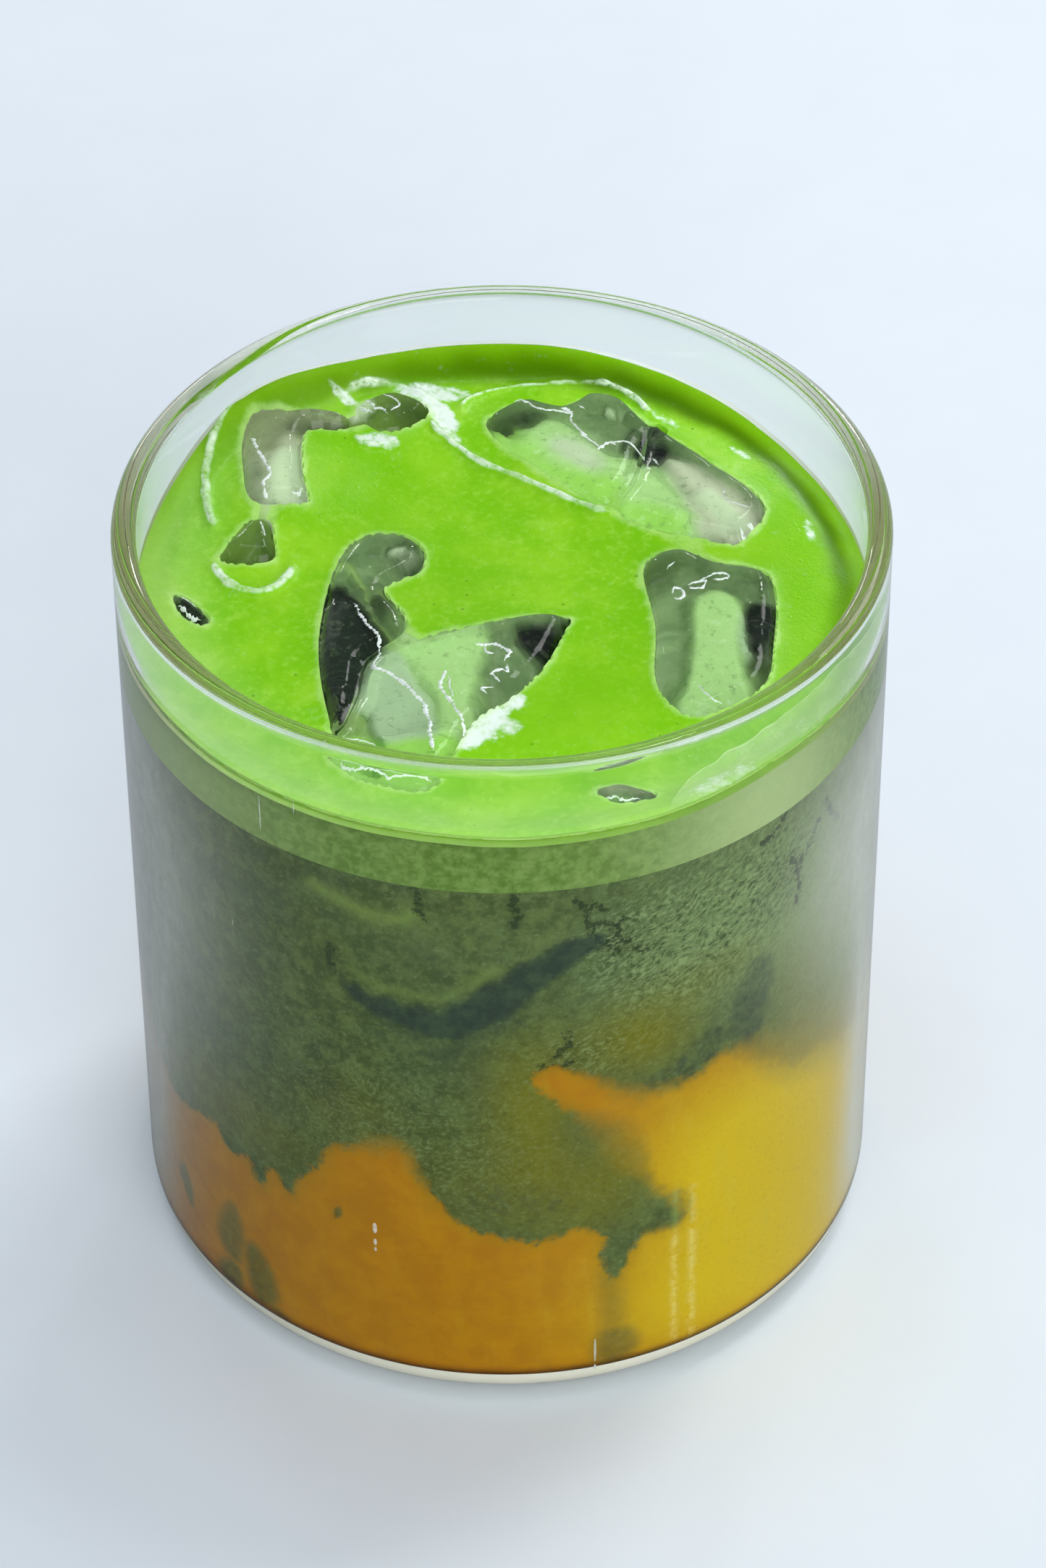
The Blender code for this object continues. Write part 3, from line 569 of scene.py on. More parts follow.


# The ice
#
# Each piece has its outline at the foam, its crown's height, bottom and lean, the patches that show in it
# (kind, softness and outline, as they show at the crown) and the lines where white glints are painted on it.

ICE = {
    "ice_front_slab": {
        "outline": (
            (-14.9, 7.4), (-17.4, 2.5), (-18.8, -8), (-18.2, -17), (-16.7, -22.9), (-15.0, -18.2),
            (-14.3, -12.6), (-12.2, -10.1), (-10.0, -7.7), (-10.3, -4.8), (-12.2, -0.6), (-8.6, 2.4),
            (-8.3, 6.0), (-10.8, 8.5),
        ),
        "top": 82.0, "bottom": 60.0, "lean": (0.01, -0.01),
        "patches": (
            ("murk", 0.5, (
                (-14.0, 0.2), (-11.6, -0.6), (-10.4, -3.4), (-10.2, -7.4), (-10.8, -10.4), (-12.2, -7.4),
                (-13.8, -4.0),
            )),
            ("murk", 0.4, (
                (-10.0, 7.4), (-8.6, 6.2), (-7.6, 4.2), (-8.9, 2.4), (-10.4, 1.8), (-9.8, 3.2), (-9.0, 4.4),
                (-9.8, 5.9),
            )),
            ("dark", 0.4, (
                (-18.9, 0.4), (-16.9, -0.2), (-15.2, -3.0), (-13.4, -7.2), (-12.5, -10.5), (-14.3, -12.4),
                (-15.3, -16.5), (-16.1, -19.0), (-16.9, -23.4), (-18.6, -19.0), (-19.3, -13.0),
                (-19.3, -6.1),
            )),
            ("leaf", 0.3, (
                (-16.2, 3.2), (-15.2, 1.4), (-14.3, -1.4), (-13.7, -4.2), (-14.9, -1.4), (-15.9, 0.6),
            )),
            ("leaf", 0.3, ((-14.1, -4.9), (-12.9, -6.7), (-11.3, -9.9), (-12.7, -8.7), (-13.7, -6.9))),
            ("pale", 0.25, ((-11.9, 4.3), (-10.6, 5.0), (-9.3, 4.7), (-10.6, 3.5))),
        ),
        "glint_lines": (
            (0.20, ((-15.3, -4.1), (-14.4, -6.1), (-13.0, -8.8), (-12.6, -10.8))),
        ),
    },
    "ice_front_wedge": {
        "outline": (
            (-16.0, -22.4), (-17.2, -24.8), (-15.2, -27.2), (-12.4, -28.9), (-7.0, -29.6), (-3.0, -21.6),
            (1.0, -17.6), (4.3, -12.8), (6.5, -7.0), (7.0, -5.7), (6.2, -5.3), (2.5, -5.0), (-3, -6.8),
            (-7.8, -8.6), (-11.3, -10.7), (-13.7, -13.0), (-14.5, -18),
        ),
        "top": 81.8, "bottom": 61.0, "lean": (0.0, 0.02),
        "patches": (
            ("cloud", 1.0, (
                (-11.4, -3.0), (-8.8, -8.4), (-7.0, -9.0), (-3.9, -7.4), (-2.0, -7.6), (-1.5, -10.6),
                (-2.0, -14.1), (-2.6, -18.3), (-3.4, -23.5), (-4.6, -28.9), (-6.6, -29.7), (-7.2, -20.4),
                (-9.2, -15.7), (-11.4, -11.0),
            )),
            ("grey", 0.5, (
                (-13.7, -11.4), (-10.9, -11.0), (-8.9, -16.6), (-7.3, -20.0), (-6.6, -29.7), (-12.2, -29.3),
                (-13.6, -21.8), (-15.4, -17.3),
            )),
            ("leaf", 0.4, (
                (-16.4, -18.2), (-14.3, -20.5), (-12.8, -25.3), (-12.2, -29.6), (-16.9, -25.6),
                (-17.2, -22.4),
            )),
            ("murk", 0.5, (
                (-0.6, -20.0), (0.8, -19.4), (2.4, -17.2), (4.4, -14.8), (3.6, -14.2), (1.6, -16.4),
                (0.2, -18.2),
            )),
            ("dark", 0.35, (
                (1.3, -8.7), (4.6, -6.9), (8.6, -4.6), (8.0, -8.4), (6.6, -10.7), (4.9, -14.6), (2.6, -16.3),
                (2.5, -12.4),
            )),
            ("pale", 0.2, ((3.0, -8.6), (3.7, -8.2), (4.3, -8.6), (3.6, -9.1))),
            ("green", 0.8, (
                (-17.0, -25.2), (-12.0, -25.4), (-3.0, -24.8), (-1.0, -32.0), (-10.0, -35.0), (-18.0, -32.0),
            )),
        ),
        "glint_lines": (
            (0.26, (
                (-12.6, -10.8), (-12.4, -12.0), (-12.8, -13.9), (-11.1, -14.8), (-9.7, -16.6), (-8.4, -18.7),
                (-7.5, -20.0), (-7.1, -23.3), (-7.0, -26.7),
            )),
            (0.22, ((-5.8, -14.7), (-6.1, -17.0), (-5.3, -19.2), (-4.2, -22.1), (-4.0, -24.4))),
            (0.12, ((-5.5, -15.6), (-5.6, -17.2), (-5.1, -18.6))),
            (0.26, ((-2.8, -10.6), (-1.4, -10.4), (-0.6, -10.4), (-0.1, -11.0), (0.6, -12.2), (0.1, -13.4))),
            (0.18, ((-1.9, -10.9), (-1.6, -11.9), (-0.9, -12.1))),
            (0.22, ((0.4, -13.9), (0.3, -15.2), (-0.4, -15.0), (-1.2, -15.3), (-0.3, -16.5))),
            (0.18, ((-1.0, -17.3), (-2.0, -17.5), (-1.6, -18.2))),
            (0.09, ((-16.6, -25.2), (-15.0, -26.9), (-12.4, -28.5), (-9.8, -29.1), (-7.0, -29.1))),
            (0.06, ((-16.8, -24.6), (-14.4, -25.6), (-11.4, -27.0), (-7.2, -28.3))),
        ),
    },
    "ice_right": {
        "outline": (
            (14.6, 1.6), (16.0, 4.4), (18.6, 5.0), (20.8, 4.0), (22.6, 2.9), (25.4, 2.4), (27.6, 0.8),
            (28.1, -4), (27.6, -10), (26.8, -15.2), (24.0, -18.6), (19.6, -20.8), (17.0, -19.2), (15.4, -15),
            (15.6, -7),
        ),
        "top": 82.0, "bottom": 58.0, "lean": (0.0, 0.015),
        "patches": (
            ("cloud", 0.9, (
                (19.2, -5.3), (20.3, -3.3), (22.6, -2.7), (24.4, -4.4), (25.0, -7.0), (24.4, -10.8),
                (24.6, -14.0), (24.9, -19.1), (22.0, -22.2), (17.7, -21.8), (18.9, -13.9),
            )),
            ("grey", 0.8, (
                (24.4, -6.2), (25.2, -6.6), (25.0, -9.4), (25.4, -12.6), (24.9, -13.6), (24.3, -10.2),
            )),
            ("murk", 0.8, ((24.8, -11.5), (27.8, -11.0), (27.2, -16.4), (25.6, -17.6), (24.8, -15.4))),
            ("dark", 0.5, (
                (25.2, -5.3), (26.1, -4.2), (28.4, -4.8), (28.2, -9.6), (27.4, -12.4), (25.7, -12.1),
                (25.2, -9.5),
            )),
            ("murk", 0.8, (
                (15.0, 1.0), (16.2, 3.8), (18.6, 4.0), (18.4, 1.4), (17.0, -1.0), (16.6, -3.6), (15.2, -3.0),
            )),
        ),
        "glint_lines": (
            (0.18, ((17.4, -3.0), (17.8, -2.2), (18.5, -2.4), (18.7, -3.2), (18.2, -3.9), (17.6, -3.6))),
            (0.20, ((19.1, -1.6), (19.9, -1.2), (20.9, -0.9), (20.6, -1.9), (19.8, -2.3), (19.2, -2.0))),
            (0.20, ((21.1, -0.5), (21.8, 0.0), (22.6, 0.1), (23.4, -0.5), (22.6, -0.9), (21.7, -0.9))),
            (0.12, ((20.1, -1.3), (21.2, -0.5))),
            (0.10, ((17.0, 0.8), (17.4, 1.5), (17.9, 2.0))),
            (0.12, ((19.6, -17.3), (20.6, -18.2), (21.3, -19.2), (22.0, -19.4))),
        ),
    },
    "ice_back_left": {
        "outline": (
            (-1.6, 26.0), (0.2, 28.6), (3.0, 29.9), (6.4, 28.6), (9.2, 30.8), (12.3, 30.2), (14.6, 27.6),
            (15.9, 24.6), (14.6, 20.4), (13.4, 15.6), (10.8, 12.4), (7.0, 15.2), (3.4, 18.8), (0.0, 22.6),
        ),
        "top": 83.0, "bottom": 62.0, "lean": (-0.01, 0.01),
        "patches": (
            ("murk", 1.2, (
                (-2.4, 25.0), (-1.5, 28.0), (1.5, 29.0), (3.5, 27.6), (4.0, 24.7), (2.4, 22.6), (0.0, 22.9),
            )),
            ("cloud", 1.2, (
                (3.9, 25.2), (7.0, 25.2), (8.7, 22.1), (11.5, 19.2), (13.5, 17.8), (15.5, 14.5),
                (13.8, 10.6), (10.2, 11.2), (4.4, 15.5), (1.6, 20.8),
            )),
            ("dark", 0.5, (
                (13.9, 23.2), (15.9, 23.3), (17.4, 21.6), (17.4, 19.2), (16.3, 17.8), (14.3, 18.7),
                (13.0, 20.1),
            )),
            ("pale", 0.25, ((11.0, 27.2), (12.2, 27.6), (13.0, 26.8), (11.8, 26.3))),
            ("milky", 1.4, ((5.4, 22.0), (8.6, 21.4), (10.6, 18.6), (9.6, 16.0), (6.0, 17.6))),
            ("green", 1.6, (
                (-2.4, 22.6), (0.6, 24.0), (4.0, 20.6), (8.0, 17.2), (12.4, 14.6), (13.0, 10.0), (8.6, 11.2),
                (3.4, 15.6),
            )),
        ),
        "glint_lines": (
            (0.16, (
                (1.2, 29.0), (2.7, 28.3), (4.4, 26.8), (7.3, 26.6), (7.5, 24.9), (8.7, 22.5), (10.4, 20.4),
            )),
            (0.30, ((6.4, 27.0), (7.2, 26.7), (7.6, 26.0))),
            (0.30, ((10.2, 20.0), (11.0, 20.7), (11.8, 21.1), (12.2, 20.6))),
            (0.22, ((8.2, 23.6), (8.8, 22.6), (9.2, 22.0))),
            (0.12, ((8.3, 27.5), (8.9, 26.7))),
            (0.14, ((11.8, 21.1), (13.2, 21.1), (14.7, 20.1), (15.2, 19.0))),
        ),
    },
    "ice_back_right": {
        "outline": (
            (16.2, 24.8), (18.4, 23.2), (22.6, 18.6), (26.6, 14.2), (27.6, 11.2), (26.2, 8.2), (24.3, 6.0),
            (22.0, 6.4), (16.2, 8.2), (12.4, 11.0), (14.2, 15.6), (15.4, 20.2),
        ),
        "top": 82.8, "bottom": 63.0, "lean": (0.0, 0.01),
        "patches": (
            ("cloud", 1.4, (
                (12.5, 18.8), (16.5, 15.9), (18.7, 12.2), (20.8, 8.4), (21.3, 4.7), (13.8, 6.6), (9.2, 12.8),
            )),
            ("clear", 1.2, (
                (17.2, 18.4), (21.6, 16.6), (25.6, 12.4), (27.0, 8.0), (24.3, 5.6), (21.3, 7.5),
                (19.4, 12.2),
            )),
            ("milky", 0.8, (
                (20.2, 12.2), (21.8, 13.2), (23.5, 11.3), (25.1, 9.2), (24.1, 7.8), (22.5, 8.7),
            )),
            ("green", 1.2, ((10.4, 13.0), (15.0, 11.2), (19.0, 9.4), (18.6, 6.0), (13.0, 7.4), (9.6, 10.0))),
            ("dark", 0.5, (
                (14.4, 23.4), (16.6, 23.4), (17.9, 21.0), (17.6, 19.2), (16.3, 17.6), (14.4, 18.4),
            )),
            ("murk", 0.35, (
                (23.0, 14.0), (23.9, 12.0), (25.2, 11.0), (26.6, 9.6), (26.9, 8.6), (25.4, 9.4),
                (23.6, 10.6), (22.8, 12.2),
            )),
        ),
        "glint_lines": (
            (0.12, ((16.0, 18.6), (16.6, 17.4))),
            (0.34, ((24.8, 7.4), (25.5, 6.9), (26.2, 7.6), (26.4, 8.4), (25.6, 8.2))),
            (0.22, ((24.5, 6.7), (25.3, 6.2), (25.9, 6.5))),
            (0.10, ((23.2, 13.4), (23.7, 11.5), (24.9, 10.8), (26.0, 10.1))),
        ),
    },
    "ice_left": {
        "outline": (
            (-27.4, 21.6), (-26.0, 24.8), (-22.6, 26.4), (-18.6, 26.4), (-16.0, 25.0), (-17.2, 23.9),
            (-20.2, 23.6), (-21.1, 21.4), (-20.9, 16), (-20.3, 12.7), (-20.9, 11.7), (-25.2, 11.8),
            (-26.7, 13.4), (-27.2, 17),
        ),
        "top": 84.3, "bottom": 64.0, "lean": (0.02, 0.03),
        "patches": (
            ("clear", 1.2, (
                (-26.4, 23.6), (-22.4, 24.6), (-19.0, 24.2), (-19.6, 16.0), (-19.2, 8.6), (-25.4, 8.2),
                (-25.8, 14.0),
            )),
            ("shade", 1.4, (
                (-27.6, 26.0), (-22.0, 27.6), (-15.0, 26.0), (-17.6, 22.6), (-22.0, 22.4), (-24.6, 18.6),
                (-27.6, 20.4),
            )),
            ("milky", 0.9, ((-24.2, 17.8), (-21.0, 18.4), (-19.8, 10.4), (-22.8, 8.4), (-24.6, 8.8))),
            ("murk", 0.5, (
                (-28.4, 22.0), (-26.4, 20.8), (-26.0, 15.0), (-26.2, 9.6), (-27.6, 9.6), (-28.4, 16),
            )),
        ),
        "glint_lines": (
            (0.20, ((-26.6, 21.0), (-24.7, 17.1), (-24.0, 14.8), (-24.8, 13.2), (-24.5, 12.0))),
            (0.14, ((-22.0, 12.4), (-21.2, 12.0), (-20.9, 13.2))),
        ),
    },
    "ice_tip": {
        "outline": (
            (-15.4, 28.4), (-12.0, 30.4), (-9.3, 29.6), (-7.7, 27.4), (-9.4, 25.0), (-12.4, 23.9),
            (-14.8, 25.6),
        ),
        "top": 83.6, "bottom": 66.0, "lean": (0.0, 0.02),
        "patches": (
            ("olive", 0.6, (
                (-17.0, 28.2), (-12.0, 31.4), (-7.0, 30.8), (-6.6, 26.6), (-9.2, 22.2), (-12.4, 21.9),
                (-16.4, 24.2),
            )),
            ("pale", 0.5, ((-16.0, 28.6), (-14.2, 29.2), (-13.4, 27.2), (-14.6, 25.6), (-15.8, 26.6))),
        ),
        "glint_lines": (
            (0.18, ((-14.4, 28.4), (-13.4, 27.0), (-12.6, 26.8), (-12.0, 25.6))),
            (0.12, ((-12.6, 29.0), (-11.4, 28.2), (-11.0, 27.0), (-11.8, 26.2))),
            (0.22, ((-15.0, 27.4), (-14.4, 26.4), (-13.6, 26.0))),
        ),
    },
    "ice_chip": {
        "outline": (
            (-29.3, 4.6), (-28.3, 7.2), (-26.6, 9.4), (-24.4, 9.6), (-23.8, 7.0), (-23.8, 4.0), (-26.8, 3.6),
        ),
        "top": 82.6, "bottom": 68.0, "lean": (0.04, 0.05),
        "patches": (
            ("olive", 0.8, (
                (-29.6, 3.0), (-28.2, 8.4), (-25.0, 10.6), (-23.2, 9.8), (-23.2, 3.0), (-27.2, 2.4),
            )),
        ),
        "glint_lines": ((0.12, ((-25.2, 8.6), (-24.8, 7.6), (-24.6, 6.4))),),
    },
    "ice_sliver_left": {
        "outline": ((-34.0, -0.8), (-32.4, -1.6), (-30.2, -4.6), (-31.0, -5.6), (-33.2, -3.6)),
        "top": 81.5, "bottom": 75.6, "lean": (0.0, 0.0),
        "patches": (
            ("dark", 0.4, ((-33.8, -1.4), (-32.4, -1.8), (-30.6, -4.6), (-31.2, -5.2), (-33.0, -3.4))),
        ),
        "glint_lines": (
            (0.16, ((-33.4, -2.6), (-32.2, -4.4), (-31.0, -5.2))),
            (0.12, ((-33.4, -1.2), (-32.4, -2.0), (-31.6, -3.0))),
        ),
    },
    "ice_sliver_front": {
        "outline": ((9.0, -30.0), (11.8, -29.5), (14.8, -31.4), (12.2, -32.4), (10.0, -31.6)),
        "top": 81.5, "bottom": 75.6, "lean": (0.0, 0.0),
        "patches": (
            ("shade", 0.4, ((8.6, -30.2), (11.8, -29.2), (15.4, -31.2), (12.2, -31.2), (10.2, -31.0))),
            ("cloud", 0.4, (
                (9.0, -31.0), (10.2, -31.0), (12.2, -31.3), (14.8, -31.6), (12.0, -33.0), (9.8, -32.4),
            )),
        ),
        "glint_lines": ((0.10, ((9.6, -31.2), (11.4, -32.0), (13.2, -32.0))),),
    },
}
OUTLINE_STEP = 0.4
ICE_BLEND = 2.2  # outlines closer than about a quarter of this flow together
LINING_DEPTH = {
    "plain": 3.2, "murk": 3.6, "cloud": 1.3, "grey": 1.6, "clear": 1.6, "shade": 2.4, "milky": 1.2,
    "green": 0.3, "olive": 2.4, "leaf": 2.4, "pale": 2.0, "dark": 4.6,
}
CROWN_RISE = 1.0  # roughly how far the crowns stand out of the foam
LINING_SLOPE = 1.3  # how far in from the outline the lining reaches its depth
SEEN_SHIFT = 0.7  # how far back a point shows for each millimetre that it lies under the crown
ICE_GRID = 0.5
ICE_RINGS = (0.3, 0.7, 1.2)  # how far inside its outline a crown has rings of points
ICE_GRID_FROM = 1.5  # further in they are in a grid
ICE_OVERLAP = 0.15  # how far the ice reaches into the foam round it
CROWN_ROUNDING = 1.5
ICE_ROWS = 6  # rows of the body under the crown
ICE_NARROW, ICE_UNDERCUT = 0.85, 0.12  # the body's width at its bottom, and how much less the last row has
# How the lines of painted glints on the ice are drawn
GLINT_LINE_STEP = 0.14
GLINT_LINE_THINNING = 0.72
GLINT_LINE_PROUD, GLINT_LINE_HEIGHT = 0.03, 0.14
GLINT_LINE_WANDER = 0.05
GLINT_LINE_UNEVEN = (0.1, 1.7)  # how much its width varies from point to point


def ice_loop(name):
    return smooth_curve(ICE[name]["outline"], OUTLINE_STEP)


def offset_loop(loop, distance):
    """The loop moved outwards, for a loop in either sense."""
    ahead = np.roll(loop, -1, axis=0) - np.roll(loop, 1, axis=0)
    normal = np.stack((ahead[:, 1], -ahead[:, 0]), axis=1)
    normal /= np.linalg.norm(normal, axis=1)[:, None]
    x, y = loop[:, 0], loop[:, 1]
    sense = 1 if np.sum(x * np.roll(y, -1) - y * np.roll(x, -1)) > 0 else -1
    return loop + normal * distance * sense


def ice_depth(x, y):
    """How far each point is inside the ice outlines, which flow together where two nearly meet."""
    first = np.full(x.shape, -9.0)
    second = first.copy()
    for name in ICE:
        inside = depth_inside(x, y, ice_loop(name))
        second = np.maximum(second, np.minimum(first, inside))
        first = np.maximum(first, inside)
    meet = np.clip(1 - (first - second) / ICE_BLEND, 0, 1)
    return first + ICE_BLEND / 4 * meet**2


def patch_weights(x, y):
    """For each kind of patch, how much of it shows at each point."""
    weights = {kind: np.zeros(x.shape) for kind in LINING_DEPTH if kind != "plain"}
    for entry in ICE.values():
        for kind, softness, outline in entry["patches"]:
            ragged = 0.25 * softness * ripple(x, y, 2.2, SEED + 40)
            inside = depth_inside(x, y, smooth_curve(outline, 0.8)) + ragged
            weights[kind] = np.maximum(weights[kind], eased(0.5 + inside / (2 * softness)))
    return weights


def triangulate(points, loops):
    """Triangles of the points' convex outline that keep to the loops' edges."""
    edges, count = [], len(points)
    everything = [points]
    for loop in loops:
        edges += [(count + i, count + (i + 1) % len(loop)) for i in range(len(loop))]
        everything.append(loop)
        count += len(loop)
    flat = [Vector(p) for p in np.vstack(everything).tolist()]
    made = delaunay_2d_cdt(flat, edges, [], 0, 1e-5)
    return np.array([tuple(v) for v in made[0]]), [tuple(face) for face in made[2]]


def hex_grid(spacing, low, high):
    """Rows of points, every other row moved by half the spacing."""
    rows = np.arange(low[1], high[1], spacing * math.sqrt(3) / 2)
    made = []
    for i, y in enumerate(rows):
        x = np.arange(low[0] + (i % 2) * spacing / 2, high[0], spacing)
        made.append(np.stack((x, np.full(x.shape, y)), axis=1))
    return np.vstack(made)


def level_points(target):
    """Points round every ice outline where its depth inside is the target."""
    made = []
    for name in ICE:
        loop = offset_loop(ice_loop(name), -target)
        keep = np.abs(ice_depth(loop[:, 0], loop[:, 1]) - target) < 0.03
        made.append(loop[keep])
    return np.vstack(made)


def ridge_points():
    """Points along the foam's ridges, so that they come out crisp."""
    made = []
    for _, width, _, points in RIDGES:
        line = smooth_curve(points, 0.35, closed=False)
        ahead = np.gradient(line, axis=0)
        normal = np.stack((ahead[:, 1], -ahead[:, 0]), axis=1)
        normal /= np.linalg.norm(normal, axis=1)[:, None]
        made += [line + normal * width * share for share in (-1.2, -0.7, -0.3, 0, 0.3, 0.7, 1.2)]
    made = np.vstack(made)
    inside = ice_depth(made[:, 0], made[:, 1])
    return made[(inside < -0.7) & (np.hypot(made[:, 0], made[:, 1]) < DRINK_RADIUS - 0.5)]


def sheen(x, y):
    total = np.zeros(x.shape)
    for middle_x, middle_y, half_width, half_depth, turn, amount in SHEEN:
        c, s = math.cos(math.radians(turn)), math.sin(math.radians(turn))
        dx, dy = x - middle_x, y - middle_y
        away = ((dx * c + dy * s) / half_width) ** 2 + ((dy * c - dx * s) / half_depth) ** 2
        total = np.maximum(total, amount * eased(1.4 - away))
    return total


# How pale the foam is near the wall: partly painted sheen, partly condensation haze.
def wall_haze(x, y):
    near = eased((np.hypot(x, y) - BORE) / HAZE_SHEEN_WIDTH + 1)
    return near * ring_value(WALL_HAZE_SHEEN, angle_of(x, y))


def wall_fold(x, y):
    """Where the foam bends up to the wall, in shade."""
    away = BORE - np.hypot(x, y) + 0.4 * ripple(x, y, 6, SEED + 33)
    return np.exp(-(((away - FOLD_PLACE) / FOLD_WIDTH) ** 2)) * ring_value(CLIMB_SHADE, angle_of(x, y))


def band_light(points):
    """How much lighter the foam's side is at each point: towards the left and the right of the front."""
    angle = angle_of(points[:, 0], points[:, 1])
    return np.clip(sum(np.exp(-(((angle - middle) / spread) ** 2)) for middle, spread in BAND_LIGHT), 0, 1)


def foam_mesh():
    """The foam: its surface with a lined well where each ice piece sits, its side and its underside."""
    rim_angle = np.linspace(-180, 180, SIDE_STEPS, endpoint=False)
    rim = np.stack(on_wall(rim_angle, DRINK_RADIUS), axis=1)
    ring_points = np.vstack([level_points(level) for level in WELL_RINGS] + [ridge_points()])
    grid = hex_grid(FOAM_GRID, (-DRINK_RADIUS, -DRINK_RADIUS), (DRINK_RADIUS, DRINK_RADIUS))
    grid = grid[np.hypot(grid[:, 0], grid[:, 1]) < DRINK_RADIUS - 0.3]
    inside = ice_depth(grid[:, 0], grid[:, 1])
    grid = grid[(inside < GRID_GAP[0]) | (inside > GRID_GAP[1])]
    flat, triangles = triangulate(np.vstack((grid, ring_points)), [rim])
    x, y = flat[:, 0], flat[:, 1]
    inside = ice_depth(x, y)
    water = foam_level(x, y)
    deep = patch_weights(x, y - DEPTH_SHIFT)
    lip = LIP_RISE * np.exp(-np.abs(inside) / LIP_WIDTH) * (inside <= 0)
    ridges, ridge_white = foam_ridges(x, y)
    ridges = ridges * eased(-inside / 0.8)
    depth = np.full(x.shape, LINING_DEPTH["plain"])
    for kind, weight in deep.items():
        depth += (LINING_DEPTH[kind] - depth) * weight
    small = eased(inside / 1.2)
    well = depth * eased((inside - 0.02) / LINING_SLOPE) + 0.1 * small * ripple(x, y, 4.0, SEED + 50)
    z = water + lip + ridges - well
    weights = patch_weights(x, y - SEEN_SHIFT * (well + CROWN_RISE * small))
    side = np.hypot(x, y) > DRINK_RADIUS - 0.01
    order = np.where(side)[0]
    order = order[np.argsort(angle_of(x[order], y[order]))]
    top_z = z[order]
    points = [np.stack((x, y, z), axis=1)]
    faces = list(triangles)
    rows = round((FOAM_LEVEL - MILK_LEVEL) / SIDE_ROW)
    first = len(x)
    previous = list(order)
    for row in range(1, rows + 1):
        t = row / rows
        ring_z = top_z + (MILK_LEVEL - top_z) * t
        points.append(np.stack((x[order], y[order], ring_z), axis=1))
        current = [first + i for i in range(len(order))]
        for i in range(len(order)):
            j = (i + 1) % len(order)
            faces.append((previous[j], previous[i], current[i], current[j]))
        previous, first = current, first + len(order)
    points.append(np.array([[0.0, 0.0, MILK_LEVEL]]))
    faces += [(previous[(i + 1) % len(order)], previous[i], first) for i in range(len(order))]
    total = np.vstack(points)
    extra = len(total) - len(x)
    side_top = np.concatenate((np.zeros(len(x)), np.tile(top_z, rows), [0.0]))
    below = np.where(side_top > 0, side_top - total[:, 2], 0.0)

    def padded(values, fill=0.0):
        return np.concatenate((values, np.full(extra, fill)))

    return make_mesh(
        "matcha_foam_top", total, faces,
        inside=padded(inside, -9.0), ridge=padded(ridge_white), below=below, haze=padded(wall_haze(x, y)),
        deep=padded(np.minimum(sum(mound(x, y, entry) for entry in DEEP), 1)), fold=padded(wall_fold(x, y)),
        rim=padded(wall_climb(x, y) * ring_value(CLIMB_SHADE, angle_of(x, y))), band=band_light(total),
        sheen=padded(sheen(x, y)), **{kind: padded(weight) for kind, weight in weights.items()},
    )


def ice_mesh(name):
    """One ice piece: a wet, uneven crown with rounded edges, and a body that reaches down into the drink."""
    bottom = ICE[name]["bottom"]
    loop = offset_loop(ice_loop(name), ICE_OVERLAP)
    grid = hex_grid(ICE_GRID, loop.min(axis=0), loop.max(axis=0))
    inside = depth_inside(grid[:, 0], grid[:, 1], loop)
    rings = []
    for inset in ICE_RINGS:
        ring = offset_loop(loop, -inset)
        rings.append(ring[np.abs(depth_inside(ring[:, 0], ring[:, 1], loop) - inset) < 0.05])
    flat, triangles = triangulate(np.vstack([grid[inside > ICE_GRID_FROM], *rings]), [loop])
    x, y = flat[:, 0], flat[:, 1]
    centres = flat[np.array(triangles)].mean(axis=1)
    within = depth_inside(centres[:, 0], centres[:, 1], loop) > 0
    faces = [face for face, inner in zip(triangles, within, strict=True) if inner]
    order = np.where(np.abs(depth_inside(x, y, loop)) < 0.01)[0].tolist()
    order.sort(key=lambda i: int(np.argmin(np.hypot(*(loop - flat[i]).T))))
    middle = loop.mean(axis=0)
    z_top = crown_height(name, x, y)
    points = [np.stack((x, y, z_top), axis=1)]
    previous, first = order, len(x)
    for row in range(1, ICE_ROWS + 1):
        t = row / ICE_ROWS
        shrink = 1 - (1 - ICE_NARROW) * t - (ICE_UNDERCUT if row == ICE_ROWS else 0)
        ring = middle + (flat[order] - middle) * shrink
        ring_z = z_top[order] + (bottom - z_top[order]) * t
        points.append(np.stack((ring[:, 0], ring[:, 1], ring_z), axis=1))
        current = list(range(first, first + len(order)))
        for i in range(len(order)):
            j = (i + 1) % len(order)
            faces.append((previous[i], previous[j], current[j], current[i]))
        previous, first = current, first + len(order)
    points.append(np.array([[middle[0], middle[1], bottom + 0.3]]))
    faces += [(previous[i], previous[(i + 1) % len(order)], first) for i in range(len(order))]
    return make_mesh(name + "_wet", np.vstack(points), faces)


def crown_height(name, x, y):
    """The height of one ice piece's crown."""
    entry = ICE[name]
    loop = offset_loop(ice_loop(name), ICE_OVERLAP)
    inside = np.maximum(depth_inside(x, y, loop), ice_depth(x, y) + ICE_OVERLAP)
    middle = loop.mean(axis=0)
    crown = entry["top"] + entry["lean"][0] * (x - middle[0]) + entry["lean"][1] * (y - middle[1])
    bumps = 0.22 * ripple(x, y, 7, SEED + 60) + 0.12 * ripple(x, y, 3, SEED + 61)
    edge = foam_level(x, y) - 0.45
    return edge + (crown + bumps - edge) * np.sqrt(eased((inside + 0.02) / CROWN_ROUNDING))


